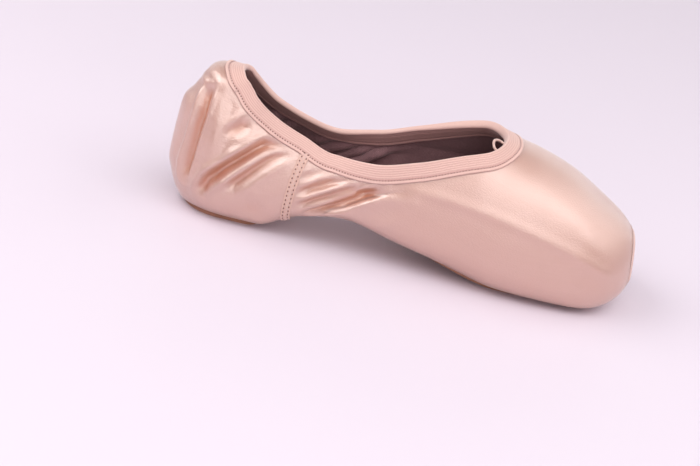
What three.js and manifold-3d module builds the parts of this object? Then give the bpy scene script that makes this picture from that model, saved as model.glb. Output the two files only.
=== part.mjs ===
// Pointe shoe on a straight last, standing empty on its split sole.
// Millimetres, +X to the toe, +Y to the wearer's left, +Z up.
import * as THREE from 'three';
import Module from 'manifold-3d';

// Driving dimensions of the last. Heights are above the upper's own underside.
const LENGTH = 235;
const BALL_WIDTH = 78;
const WAIST_WIDTH = 54;
const HEEL_WIDTH = 52;
const PLATFORM_WIDTH = 46;
const PLATFORM_HEIGHT = 36;
const PLATFORM_LEAN = 0.12;
const ARCH_RISE = 14;
const TOE_SPRING = 0.5;
const BALL_X = 175;
const THROAT_X = 158;
const THROAT_HEIGHT = 67.5;
const THROAT_ROUND = 26;
const COLLAR_LOW_X = 77;
const COLLAR_LOW = 44.1;
const HEEL_HEIGHT = 71;
const HEEL_BULGE = 18.5;
const HEEL_ROUND = 30;
const HEEL_TUCK = 7;
const HEEL_CURL = 27.5;
const HEEL_REACH = 80;
const TOE_REACH = 70;

// Rounding of the toe's rim: how far back from the tip it starts, and how far in it turns.
const RIM_UNDER = { length: 22, inset: 12 };
const RIM_SIDES = { length: 16, inset: 10 };
const RIM_TOP = { length: 8, inset: 3.5 };

// Walls, layers and the room left between pieces that touch. The binding needs more of it where it bends.
const GAP = 0.3;
const SOFT_WALL = 1.6;
const BOX_WALL = 2.8;
const BOX_STARTS = 108;
const BOX_FULL = 140;
const SOLE_LEATHER = 2;
const SOCK = 1.8;
const SOCK_GAP = 0.6;
const BINDING_WIDTH = 8.5;
const BINDING_CLOTH = 0.8;
const BINDING_GAP = 0.5;
const EDGE_GAP = 0.9;
const SEAM_WIDTH = 4.5;
const SEAM_CLOTH = 0.6;
const PATCH_CLOTH = 0.7;
const CORD_DIAMETER = 1.4;

// Shape of every cross section: a flat underside, a round lower corner and a fuller upper curve.
// The corner is squarest under the box, and gets rounder to the tip.
const CORNERS = [
  { x: 0, flat: 0.6, power: 2.4 },
  { x: 150, flat: 0.6, power: 2.4 },
  { x: 205, flat: 0.7, power: 2.8 },
  { x: LENGTH, flat: 0.46, power: 2 },
];
const HEEL_POWER = 2.2;

// Half widths seen from above.
const SIDES = [
  { x: 0, half: 0.49 * HEEL_WIDTH },
  { x: HEEL_ROUND, half: 0.5 * HEEL_WIDTH },
  { x: 85, half: 0.5 * WAIST_WIDTH },
  { x: 128, half: 0.25 * (WAIST_WIDTH + BALL_WIDTH) },
  { x: BALL_X, half: 0.5 * BALL_WIDTH },
  { x: 0.5 * (BALL_X + LENGTH), half: 0.475 * BALL_WIDTH },
  { x: LENGTH, half: 0.5 * PLATFORM_WIDTH },
];

// Underside: flat heel, arch, long slope to the flat ball, toe spring.
const UNDERSIDE = [
  { x: 0, z: 0 },
  { x: 45, z: 0 },
  { x: 68, z: 0.7 * ARCH_RISE },
  { x: 90, z: ARCH_RISE },
  { x: 114, z: 0.68 * ARCH_RISE },
  { x: 140, z: 0.36 * ARCH_RISE },
  { x: 170, z: 0 },
  { x: 205, z: 0 },
  { x: LENGTH, z: TOE_SPRING },
];

// Height of the widest point, and how square the curve above it is.
const FLANKS = [
  { x: 0, z: HEEL_BULGE, power: 2.2 },
  { x: 40, z: HEEL_BULGE, power: 2.2 },
  { x: 90, z: 24, power: 2.2 },
  { x: BALL_X, z: 20, power: 2.35 },
  { x: LENGTH, z: TOE_SPRING + 0.45 * PLATFORM_HEIGHT, power: 2.6 },
];

// Height of the collar edge.
const COLLAR = [
  { x: 0, z: HEEL_HEIGHT },
  { x: 10, z: HEEL_HEIGHT - 2.1 },
  { x: 17, z: HEEL_HEIGHT - 3.4 },
  { x: 24, z: HEEL_HEIGHT - 5.5 },
  { x: 30, z: HEEL_HEIGHT - 8.9 },
  { x: 45, z: COLLAR_LOW + 10 },
  { x: 60, z: COLLAR_LOW + 4.5 },
  { x: COLLAR_LOW_X, z: COLLAR_LOW },
  { x: 97, z: COLLAR_LOW + 2 },
  { x: 117, z: COLLAR_LOW + 8.7 },
  { x: 140, z: THROAT_HEIGHT - 5.4 },
  { x: THROAT_X, z: THROAT_HEIGHT },
];

// Top line of the sections. Behind the throat it is where the curve would close if no collar were cut.
const CROWN = [
  { x: 0, z: HEEL_HEIGHT + 3.8 },
  { x: 10, z: HEEL_HEIGHT + 2.2 },
  { x: 20, z: HEEL_HEIGHT - 0.6 },
  { x: 30, z: HEEL_HEIGHT - 4.4 },
  { x: 45, z: COLLAR_LOW + 13.8 },
  { x: COLLAR_LOW_X, z: COLLAR_LOW + 4.8 },
  { x: 97, z: COLLAR_LOW + 13.8 },
  { x: 117, z: THROAT_HEIGHT - 1.2 },
  { x: 147, z: THROAT_HEIGHT + 4.3 },
  { x: THROAT_X, z: THROAT_HEIGHT },
  { x: 178, z: THROAT_HEIGHT - 4.6 },
  { x: 198, z: THROAT_HEIGHT - 10.9 },
  { x: 216, z: THROAT_HEIGHT - 20 },
  { x: LENGTH, z: TOE_SPRING + PLATFORM_HEIGHT },
];

// Back of the heel: how far it lies forward of the bulge at each height.
const HEEL_BACK = [
  { z: -5, lean: 1.3 * HEEL_TUCK },
  { z: 0, lean: HEEL_TUCK },
  { z: 8, lean: 0.4 * HEEL_TUCK },
  { z: HEEL_BULGE, lean: 0 },
  { z: 45, lean: 0.03 * HEEL_CURL },
  { z: HEEL_HEIGHT - 6, lean: 0.32 * HEEL_CURL },
  { z: HEEL_HEIGHT + 1, lean: HEEL_CURL },
  { z: HEEL_HEIGHT + 12, lean: 1.8 * HEEL_CURL },
];

// Side seam, from under the binding to the floor edge: place along the shoe by share of the half ring.
const SEAM = [
  { share: 0.24, x: 61 },
  { share: 0.34, x: 60.4 },
  { share: 0.5, x: 60.6 },
  { share: 0.65, x: 61.4 },
  { share: 0.79, x: 63 },
];

// Smooth curve through the rows of a table that never overshoots between two rows.
function curveThrough(rows, along, column) {
  const xs = rows.map((row) => row[along]);
  const ys = rows.map((row) => row[column]);
  const last = xs.length - 1;
  const steps = xs.slice(1).map((x, i) => x - xs[i]);
  const slopes = steps.map((step, i) => (ys[i + 1] - ys[i]) / step);
  const tangents = xs.map((_, i) => {
    if (i === 0) return endTangent(steps[0], steps[1], slopes[0], slopes[1]);
    if (i === last) return endTangent(steps[last - 1], steps[last - 2], slopes[last - 1], slopes[last - 2]);
    if (slopes[i - 1] * slopes[i] <= 0) return 0;
    const before = 2 * steps[i] + steps[i - 1];
    const after = steps[i] + 2 * steps[i - 1];
    return (before + after) / (before / slopes[i - 1] + after / slopes[i]);
  });
  return (x) => {
    const inside = Math.min(Math.max(x, xs[0]), xs[last]);
    let i = 0;
    while (i < last - 1 && inside > xs[i + 1]) i += 1;
    const t = (inside - xs[i]) / steps[i];
    const blend = t * t * (3 - 2 * t);
    const rise = t * (1 - t) * steps[i] * ((1 - t) * tangents[i] - t * tangents[i + 1]);
    return ys[i] + (ys[i + 1] - ys[i]) * blend + rise;
  };
}

function endTangent(near, next, slope, nextSlope) {
  const tangent = ((2 * near + next) * slope - near * nextSlope) / (near + next);
  if (tangent * slope <= 0) return 0;
  if (slope * nextSlope < 0 && Math.abs(tangent) > 3 * Math.abs(slope)) return 3 * slope;
  return tangent;
}

const { clamp, smoothstep, lerp } = THREE.MathUtils;
const sideHalf = curveThrough(SIDES, 'x', 'half');
const underside = curveThrough(UNDERSIDE, 'x', 'z');
const flankHeight = curveThrough(FLANKS, 'x', 'z');
const flankPower = curveThrough(FLANKS, 'x', 'power');
const flatShare = curveThrough(CORNERS, 'x', 'flat');
const cornerPower = curveThrough(CORNERS, 'x', 'power');
const collarHeight = curveThrough(COLLAR, 'x', 'z');
const crownHeight = curveThrough(CROWN, 'x', 'z');
const heelLean = curveThrough(HEEL_BACK, 'z', 'lean');
const seamPlace = curveThrough(SEAM, 'share', 'x');

// How far the toe's rim has turned in at x.
function rimInset(rim, x) {
  const edge = clamp((x - LENGTH + rim.length) / rim.length, 0, 1);
  return rim.inset * (1 - Math.sqrt(1 - edge * edge));
}

// The sizes of one cross section. The collar is cut where the section's curve reaches the collar's height,
// at a share of the half width that runs to nothing at the throat.
function section(x) {
  const power = flankPower(x);
  const round = x < HEEL_ROUND ? (1 - (1 - x / HEEL_ROUND) ** HEEL_POWER) ** (1 / HEEL_POWER) : 1;
  const half = sideHalf(x) * round - rimInset(RIM_SIDES, x);
  const bottom = underside(x) + rimInset(RIM_UNDER, x);
  const flank = flankHeight(x);
  const top = crownHeight(x) - rimInset(RIM_TOP, x);
  const rise = x < THROAT_X ? (collarHeight(x) - flank) / (top - flank) : 1;
  const collar = Math.max(1 - rise ** power, 0) ** (1 / power);
  return { power, flank, top, rise, collar, half, bottom };
}

// Leans a section's point: the heel's back profile at one end, the platform's slope at the other.
function leaned(x, y, z) {
  const heel = heelLean(z) * (1 - smoothstep(x, 0, HEEL_REACH));
  const toe = PLATFORM_LEAN * (z - TOE_SPRING) * smoothstep(x, LENGTH - TOE_REACH, LENGTH);
  return new THREE.Vector3(x + heel - toe, y, z);
}

// Parts of the half ring: flat underside, lower corner, upper curve to the collar or top centre.
const FLAT_ENDS = 0.14;
const CORNER_ENDS = 0.46;

// A point of the upper's outside: x along the shoe, share round the half ring from the bottom centre.
function skinPoint(x, share, side) {
  const { power, flank, top, rise, half, bottom } = section(x);
  const flat = flatShare(x);
  if (share <= FLAT_ENDS) return leaned(x, side * flat * half * (share / FLAT_ENDS), bottom);
  if (share <= CORNER_ENDS) {
    const turn = (0.5 * Math.PI * (share - FLAT_ENDS)) / (CORNER_ENDS - FLAT_ENDS);
    const out = Math.sin(turn) ** (2 / cornerPower(x));
    const down = Math.max(Math.cos(turn), 0) ** (2 / cornerPower(x));
    return leaned(x, side * half * lerp(flat, 1, out), flank - (flank - bottom) * down);
  }
  const turn = (Math.asin(rise ** (power / 2)) * (share - CORNER_ENDS)) / (1 - CORNER_ENDS);
  const across = Math.max(Math.cos(turn), 0) ** (2 / power);
  return leaned(x, side * half * across, flank + (top - flank) * Math.sin(turn) ** (2 / power));
}

// A point of the upper curve by its plain share of the half width, used beside the collar.
function crownPoint(walk, across) {
  const x = walkToX(walk);
  const { power, flank, top, half } = section(x);
  return leaned(x, across * half, flank + (top - flank) * (1 - Math.abs(across) ** power) ** (1 / power));
}

// Height of the upper's flat underside and lower corner at a place seen from above.
function bottomHeight(x, y) {
  const { flank, half, bottom } = section(x);
  const flat = flatShare(x);
  const corner = cornerPower(x);
  const out = clamp((Math.abs(y) / half - flat) / (1 - flat), 0, 1);
  return flank - (flank - bottom) * (1 - out ** corner) ** (1 / corner);
}

// Distance walked round the heel and then along the side, and back to x.
const HEEL_WALK = 0.5 * Math.PI * HEEL_ROUND;
function walkToX(walk) {
  return walk < HEEL_WALK ? HEEL_ROUND * (1 - Math.cos(walk / HEEL_ROUND)) : walk - HEEL_WALK + HEEL_ROUND;
}

function xToWalk(x) {
  return x < HEEL_ROUND ? HEEL_ROUND * Math.acos(1 - x / HEEL_ROUND) : x - HEEL_ROUND + HEEL_WALK;
}

function wallAt(x) {
  return lerp(SOFT_WALL, BOX_WALL, smoothstep(x, BOX_STARTS, BOX_FULL));
}

function evenly(from, to, count) {
  return Array.from({ length: count + 1 }, (_, i) => lerp(from, to, i / count));
}

// Places along the shoe where the collar is met, close together at the heel and round the throat.
const HEEL_STEPS = 10;
const SIDE_STEPS = 13;
const THROAT_STEPS = 7;
const VAMP_STEPS = 9;
const RIM_STEPS = 6;
const CROWDING = 1.4;
function collarStations() {
  const heel = evenly(0, HEEL_WALK, HEEL_STEPS).map(walkToX);
  const side = evenly(HEEL_ROUND, THROAT_X - THROAT_ROUND, SIDE_STEPS).slice(1);
  const behind = evenly(1, 0, THROAT_STEPS).slice(1).map((back) => THROAT_ROUND * back ** CROWDING);
  return [...heel, ...side, ...behind.map((distance) => THROAT_X - distance)];
}

function rimStations() {
  const turns = evenly(0, 0.5 * Math.PI, RIM_STEPS);
  return turns.map((turn) => LENGTH - RIM_UNDER.length * (1 - Math.sin(turn)));
}

// A sheet of triangles with shared corners. Corners are merged by place, so that seams close.
class Sheet {
  constructor() {
    this.points = [];
    this.faces = [];
    this.known = new Map();
  }

  corner(point) {
    const key = point.toArray().map((value) => Math.round(value * 1e3)).join();
    if (!this.known.has(key)) {
      this.known.set(key, this.points.length);
      this.points.push(point.clone());
    }
    return this.known.get(key);
  }

  face(a, b, c) {
    if (a !== b && b !== c && c !== a) this.faces.push([a, b, c]);
  }

  // Four corners in turn, split along the shorter diagonal.
  quad(a, b, c, d) {
    const length = (from, to) => this.points[from].distanceTo(this.points[to]);
    const [p, q, r, s] = length(a, c) <= length(b, d) ? [a, b, c, d] : [b, c, d, a];
    this.face(p, q, r);
    this.face(p, r, s);
  }

  // Joins rows of points that run the same way, with the outside on the right of each row.
  rows(rows) {
    const grid = rows.map((row) => row.map((point) => this.corner(point)));
    for (let i = 0; i + 1 < grid.length; i += 1) {
      for (let j = 0; j + 1 < grid[i].length; j += 1) {
        this.quad(grid[i][j], grid[i][j + 1], grid[i + 1][j + 1], grid[i + 1][j]);
      }
    }
    return this;
  }

  // Outward directions at the corners, each face weighted by its angle there.
  normals() {
    const sums = this.points.map(() => new THREE.Vector3());
    for (const face of this.faces) {
      const [a, b, c] = face.map((index) => this.points[index]);
      const facing = b.clone().sub(a).cross(c.clone().sub(a)).normalize();
      face.forEach((index, i) => {
        const here = this.points[index];
        const one = this.points[face[(i + 1) % 3]].clone().sub(here);
        const two = this.points[face[(i + 2) % 3]].clone().sub(here);
        sums[index].addScaledVector(facing, one.angleTo(two));
      });
    }
    return sums.map((sum) => sum.normalize());
  }

  // Edges that only one face has, in that face's direction.
  rim() {
    const edges = new Map();
    for (const [a, b, c] of this.faces) {
      for (const [from, to] of [[a, b], [b, c], [c, a]]) edges.set(`${from},${to}`, [from, to]);
    }
    return [...edges.values()].filter(([from, to]) => !edges.has(`${to},${from}`));
  }

  // Closed solid between two distances from the sheet, given as functions of a point.
  thickened(inner, outer, directions = this.normals()) {
    const moved = (distance) =>
      this.points.map((point, i) => point.clone().addScaledVector(directions[i], distance(point)));
    const points = [...moved(outer), ...moved(inner)];
    const count = this.points.length;
    const back = this.faces.map(([a, b, c]) => [a + count, c + count, b + count]);
    const sides = this.rim().flatMap(([a, b]) => [[b, a, a + count], [b, a + count, b + count]]);
    return solidGeometry(points, [...this.faces, ...back, ...sides]);
  }
}

function solidGeometry(points, faces) {
  const geometry = new THREE.BufferGeometry();
  geometry.setAttribute('position', new THREE.Float32BufferAttribute(points.flatMap((p) => p.toArray()), 3));
  geometry.setIndex(faces.flat());
  return geometry;
}

// Outside of the whole upper: rings from one collar edge under the foot to the other.
const FLAT_STEPS = 2;
const CORNER_STEPS = 6;
const UPPER_STEPS = 10;
function ringShares() {
  const flat = evenly(0, FLAT_ENDS, FLAT_STEPS);
  const corner = evenly(FLAT_ENDS, CORNER_ENDS, CORNER_STEPS).slice(1);
  const upper = evenly(1, 0, UPPER_STEPS).slice(1).map((below) => 1 - (1 - CORNER_ENDS) * below ** CROWDING);
  return [...flat, ...corner, ...upper];
}

function ring(x) {
  const shares = ringShares();
  const right = shares.map((share) => skinPoint(x, share, -1)).reverse();
  const left = shares.map((share) => skinPoint(x, share, 1)).slice(1);
  return [...right, ...left];
}

// The flat end: each side's ring joined to the other side's across the platform.
function platformRows() {
  const end = ring(LENGTH);
  const half = (end.length - 1) / 2;
  const right = end.slice(0, half + 1);
  const left = end.slice(half).reverse();
  const middle = right.map((point, i) => point.clone().lerp(left[i], 0.5));
  return [right, middle, left];
}

function upperSheet() {
  const vamp = evenly(THROAT_X, LENGTH - RIM_UNDER.length, VAMP_STEPS).slice(1, -1);
  const stations = [...collarStations(), ...vamp, ...rimStations()];
  return new Sheet().rows(stations.map(ring)).rows(platformRows());
}

// Manifold booleans for the two openings underneath.
const wasm = await Module();
wasm.setup();

function toManifold(geometry) {
  const sheet = new Sheet();
  const flat = geometry.index ? geometry.toNonIndexed() : geometry;
  const position = flat.getAttribute('position');
  const corners = Array.from({ length: position.count }, (_, i) =>
    sheet.corner(new THREE.Vector3().fromBufferAttribute(position, i)));
  for (let i = 0; i < corners.length; i += 3) sheet.face(corners[i], corners[i + 1], corners[i + 2]);
  const vertProperties = new Float32Array(sheet.points.flatMap((point) => point.toArray()));
  const triVerts = new Uint32Array(sheet.faces.flat());
  return new wasm.Manifold(new wasm.Mesh({ numProp: 3, vertProperties, triVerts }));
}

function fromManifold(solid) {
  const mesh = solid.getMesh();
  const geometry = new THREE.BufferGeometry();
  geometry.setAttribute('position', new THREE.Float32BufferAttribute(mesh.vertProperties, 3));
  geometry.setIndex([...mesh.triVerts]);
  return geometry;
}

// Sole shapes: ends on the shoe, half width as a share of the section's, how long the round ends are,
// and the steps that each round end and the middle are made of.
const FORE_SOLE = { from: 112, to: 216, share: 0.64, heelEnd: 44, toeEnd: 20, endSteps: 11, middleSteps: 7 };
const HEEL_SOLE = { from: 3, to: 50, share: 0.64, heelEnd: 20, toeEnd: 12, endSteps: 6, middleSteps: 4 };
const FORE_HOLE = { from: 134, to: 200, share: 0.52, heelEnd: 20, toeEnd: 16, endSteps: 5, middleSteps: 6 };
const HEEL_HOLE = { from: 11, to: 41, share: 0.48, heelEnd: 12, toeEnd: 10, endSteps: 5, middleSteps: 6 };
const SOCK_SHAPE = { from: 6, to: 212, share: 0.57, heelEnd: 22, toeEnd: 24, endSteps: 6, middleSteps: 18 };
const OPENING_DEPTH = 20;

// Half width of a sole shape at x, running to a round end.
function soleHalf(shape, x) {
  const back = clamp((x - shape.from) / shape.heelEnd, 0, 1);
  const front = clamp((shape.to - x) / shape.toeEnd, 0, 1);
  const ends = Math.sqrt((1 - (1 - back) ** 2) * (1 - (1 - front) ** 2));
  return sideHalf(x) * shape.share * ends;
}

function soleStations(shape) {
  const turns = evenly(0, 0.5 * Math.PI, shape.endSteps);
  const back = turns.map((turn) => shape.from + shape.heelEnd * (1 - Math.cos(turn)));
  const front = turns.map((turn) => shape.to - shape.toeEnd * (1 - Math.sin(turn)));
  const middle = evenly(shape.from + shape.heelEnd, shape.to - shape.toeEnd, shape.middleSteps).slice(1, -1);
  return [...back, ...middle, ...front];
}

// Sheet on the upper's underside with a sole shape's outline, facing down.
const SOLE_ACROSS = 6;
function soleSheet(shape) {
  const rows = soleStations(shape).map((x) =>
    evenly(-soleHalf(shape, x), soleHalf(shape, x), SOLE_ACROSS).map((y) =>
      leaned(x, y, bottomHeight(x, y))));
  return new Sheet().rows(rows);
}

// Layer under the upper, or over its inside, between two distances measured straight down.
function layer(sheet, nearest, farthest) {
  const down = sheet.points.map(() => new THREE.Vector3(0, 0, -1));
  return sheet.thickened(nearest, farthest, down);
}

function openingCutter(shape) {
  const xs = soleStations(shape);
  const right = xs.map((x) => new THREE.Vector2(leaned(x, 0, 0).x, -soleHalf(shape, x)));
  const left = xs.map((x) => new THREE.Vector2(leaned(x, 0, 0).x, soleHalf(shape, x))).reverse();
  const outline = new THREE.Shape([...right, ...left.slice(1, -1)]);
  const cutter = new THREE.ExtrudeGeometry(outline, { depth: OPENING_DEPTH, bevelEnabled: false });
  return cutter.translate(0, 0, -0.5 * OPENING_DEPTH);
}

function upperGeometry() {
  const shell = upperSheet().thickened((point) => -wallAt(point.x), () => 0);
  const open = [FORE_HOLE, HEEL_HOLE].reduce(
    (solid, shape) => solid.subtract(toManifold(openingCutter(shape))), toManifold(shell));
  return fromManifold(open);
}

function outsoleGeometry(shape) {
  return layer(soleSheet(shape), () => GAP, () => GAP + SOLE_LEATHER);
}

function insoleGeometry() {
  const above = (point) => -wallAt(point.x) - SOCK_GAP;
  return layer(soleSheet(SOCK_SHAPE), (point) => above(point) - SOCK, above);
}

// Cover of the platform, wrapped a little way over its rounded rim.
const PATCH_WRAP = 5;
function platformPatchGeometry() {
  const sheet = new Sheet().rows(rimStations().slice(PATCH_WRAP).map(ring)).rows(platformRows());
  return sheet.thickened(() => GAP, () => GAP + PATCH_CLOTH);
}

// Flat ridge where the heel panel is sewn to the arch panel.
const SEAM_STEPS = 14;
function sideSeamGeometry(side) {
  const shares = evenly(SEAM[0].share, SEAM[SEAM.length - 1].share, SEAM_STEPS);
  const across = [-0.5, 0, 0.5].map((offset) =>
    shares.map((share) => skinPoint(seamPlace(share) + offset * SEAM_WIDTH, share, side)));
  if (side < 0) across.reverse();
  return new Sheet().rows(across).thickened(() => GAP, () => GAP + SEAM_CLOTH);
}

// Directions on the upper at a place beside the collar: outward, and along the collar's own walk.
const PROBE = 0.01;
function crownFrame(walk, across) {
  const alongStep = crownPoint(walk + PROBE, across).sub(crownPoint(Math.max(walk - PROBE, 0), across));
  const acrossStep = crownPoint(walk, across + PROBE).sub(crownPoint(walk, across - PROBE));
  const outward = alongStep.clone().cross(acrossStep).normalize();
  const walked = Math.min(walk, PROBE) + PROBE;
  return { outward, along: alongStep.divideScalar(walked), across: acrossStep.divideScalar(2 * PROBE) };
}

// Walks down the upper from a collar point, square to the collar, and notes the points on the way.
const MARCH = 0.5;
function marchDown(start, tangent, depths) {
  const place = { ...start };
  let walked = 0;
  return depths.map((depth) => {
    while (walked < depth) {
      const step = Math.min(MARCH, depth - walked);
      const { outward, along, across } = crownFrame(place.walk, place.across);
      const down = outward.clone().cross(tangent).normalize();
      const aa = along.dot(along);
      const ab = along.dot(across);
      const bb = across.dot(across);
      const da = along.dot(down);
      const db = across.dot(down);
      const det = aa * bb - ab * ab;
      place.walk = Math.max(place.walk + (step * (da * bb - db * ab)) / det, 0);
      place.across += (step * (db * aa - da * ab)) / det;
      walked += step;
    }
    const { outward } = crownFrame(place.walk, place.across);
    return { point: crownPoint(place.walk, place.across), outward };
  });
}

// The collar as a closed loop of places: from the heel up the left side to the throat and back on the right.
function collarLoop() {
  const stations = collarStations();
  const left = stations.map((x) => ({ walk: xToWalk(x), across: section(x).collar }));
  const right = left.slice(1, -1).reverse().map(({ walk, across }) => ({ walk, across: -across }));
  return [...left, ...right];
}

// Flat elastic folded over the collar edge: a U section swept round the collar.
const BINDING_DEPTHS = [0, 0.5 * BINDING_WIDTH, BINDING_WIDTH];
function bindingGeometry() {
  const loop = collarLoop();
  const edge = loop.map(({ walk, across }) => crownPoint(walk, across));
  const profiles = loop.map((place, i) => {
    const next = edge[(i + 1) % edge.length];
    const before = edge[(i + edge.length - 1) % edge.length];
    const tangent = next.clone().sub(before).normalize();
    return bindingProfile(place, edge[i], tangent);
  });
  const sheet = new Sheet().rows([...profiles, profiles[0]]);
  return solidGeometry(sheet.points, sheet.faces);
}

function bindingProfile(place, edge, tangent) {
  const steps = marchDown(place, tangent, BINDING_DEPTHS);
  const { outward } = steps[0];
  const up = tangent.clone().cross(outward).normalize();
  const wall = wallAt(edge.x);
  const layerAt = (distance) =>
    steps.map(({ point, outward: out }) => point.clone().addScaledVector(out, distance(point)));
  const overEdge = (side, rise) => edge.clone().addScaledVector(outward, side).addScaledVector(up, rise);
  const reach = BINDING_GAP + BINDING_CLOTH;
  const ridge = EDGE_GAP + BINDING_CLOTH;
  const outside = layerAt(() => reach).reverse();
  const inside = layerAt((point) => -wallAt(point.x) - ridge);
  const innerFace = layerAt((point) => -wallAt(point.x) - EDGE_GAP).reverse();
  const outerFace = layerAt(() => BINDING_GAP);
  const top = [overEdge(0, ridge), overEdge(-wall, ridge)];
  const under = [overEdge(-wall - EDGE_GAP, EDGE_GAP), overEdge(BINDING_GAP, EDGE_GAP)];
  return [...outside, ...top, ...inside, ...innerFace, ...under, ...outerFace, outside[0]];
}

// Small loop of the drawcord, bowed in from the binding's edge at the right front corner of the throat.
const CORD_BOW = [
  { x: 157.3, rise: 0.4 },
  { x: 156.9, rise: 1.9 },
  { x: 155.8, rise: 2.6 },
  { x: 154.5, rise: 1.7 },
  { x: 153.5, rise: -0.25 },
];
const CORD_STEPS = 14;
const CORD_SIDES = 4;
function drawcordGeometry() {
  const seat = EDGE_GAP + BINDING_CLOTH + GAP + 0.5 * CORD_DIAMETER;
  const route = new THREE.CatmullRomCurve3(CORD_BOW.map(({ x, rise }) => overCollar(x, seat + rise)));
  const circle = new THREE.Shape().absarc(0, 0, 0.5 * CORD_DIAMETER, 0, 2 * Math.PI);
  const sweep = { steps: CORD_STEPS, curveSegments: CORD_SIDES, extrudePath: route };
  return new THREE.ExtrudeGeometry(circle, sweep);
}

// A point over the middle of the wall's edge on the right side of the collar.
function overCollar(x, rise) {
  const rightEdge = (at) => crownPoint(xToWalk(at), -section(at).collar);
  const { outward } = crownFrame(xToWalk(x), -section(x).collar);
  const tangent = rightEdge(x - PROBE).sub(rightEdge(x + PROBE));
  const up = tangent.cross(outward).normalize();
  return rightEdge(x).addScaledVector(outward, -0.5 * wallAt(x)).addScaledVector(up, rise);
}

const LEFT = 1;
const RIGHT = -1;
const pieces = [
  { name: 'upper', shape: upperGeometry(), color: 0xe9bfae, roughness: 0.38 },
  { name: 'outsole_fore', shape: outsoleGeometry(FORE_SOLE), color: 0x8a5a45, roughness: 0.75 },
  { name: 'outsole_heel', shape: outsoleGeometry(HEEL_SOLE), color: 0x8a5a45, roughness: 0.75 },
  { name: 'insole', shape: insoleGeometry(), color: 0x8c6a6c, roughness: 0.9 },
  { name: 'platform_patch', shape: platformPatchGeometry(), color: 0xd9afa6, roughness: 0.5 },
  { name: 'collar_binding', shape: bindingGeometry(), color: 0xe3c3bd, roughness: 0.7 },
  { name: 'side_seam_right', shape: sideSeamGeometry(RIGHT), color: 0xe0b4a4, roughness: 0.5 },
  { name: 'side_seam_left', shape: sideSeamGeometry(LEFT), color: 0xe0b4a4, roughness: 0.5 },
  { name: 'drawcord_loop', shape: drawcordGeometry(), color: 0xe6cbc4, roughness: 0.7 },
];

const shoe = new THREE.Group();
for (const { name, shape, color, roughness } of pieces) {
  const mesh = new THREE.Mesh(shape, new THREE.MeshStandardMaterial({ color, roughness, metalness: 0 }));
  mesh.name = name;
  shoe.add(mesh);
}

// The origin is on the floor under the middle of the shoe.
const reach = new THREE.Box3().setFromObject(shoe);
const middle = reach.getCenter(new THREE.Vector3());
shoe.position.set(-middle.x, -middle.y, -reach.min.z);

export default shoe;
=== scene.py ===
"""Looks of a satin pointe shoe, built as an add-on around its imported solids.

Places on the shoe are in millimetres: x from the back of the heel towards the toe, z up from the underside
of the upper. A place on the upper's skin is x with a share of the half ring, from 0 at the middle of the sole
to 1 at the collar or at the middle of the vamp.
"""

import math
from types import SimpleNamespace

import bpy
import numpy as np
from bpy.props import FloatProperty, FloatVectorProperty, PointerProperty
from mathutils import Matrix, Vector


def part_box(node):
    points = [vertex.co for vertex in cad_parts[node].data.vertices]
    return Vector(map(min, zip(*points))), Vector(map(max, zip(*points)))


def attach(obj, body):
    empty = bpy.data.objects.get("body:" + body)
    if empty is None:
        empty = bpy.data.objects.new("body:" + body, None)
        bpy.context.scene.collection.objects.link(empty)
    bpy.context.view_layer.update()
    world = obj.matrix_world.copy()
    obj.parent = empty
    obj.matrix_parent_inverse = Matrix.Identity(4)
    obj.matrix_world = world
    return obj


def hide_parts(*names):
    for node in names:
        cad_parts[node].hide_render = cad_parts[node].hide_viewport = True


bl_info = {
    "name": "Pointe shoe",
    "version": (1, 0, 0),
    "blender": (4, 5, 0),
    "location": "View3D > Sidebar > Pointe shoe",
    "description": "Builds the satin, elastic, seams and soles of a pointe shoe around its solids",
    "category": "Object",
}

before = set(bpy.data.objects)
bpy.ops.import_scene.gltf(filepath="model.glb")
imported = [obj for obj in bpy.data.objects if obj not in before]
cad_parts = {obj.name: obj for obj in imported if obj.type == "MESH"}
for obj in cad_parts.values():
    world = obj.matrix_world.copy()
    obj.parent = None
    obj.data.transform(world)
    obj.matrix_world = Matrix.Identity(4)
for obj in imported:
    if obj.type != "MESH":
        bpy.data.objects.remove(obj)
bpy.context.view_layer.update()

MM = 0.001
QUARTER_TURN = math.pi / 2
LEFT = 1
RIGHT = -1
HEEL_BACK_AT = Vector((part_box("upper")[0].x, 0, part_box("upper")[0].z))


def size(name, description, default):
    """A length that a user can change, given here in millimetres."""
    return FloatProperty(name=name, description=description, default=default * MM, unit="LENGTH", precision=5)


def colour(name, description, default):
    """A linear colour that a user can change."""
    return FloatVectorProperty(
        name=name, description=description, default=default, subtype="COLOR", size=3, min=0, max=1
    )


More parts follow.
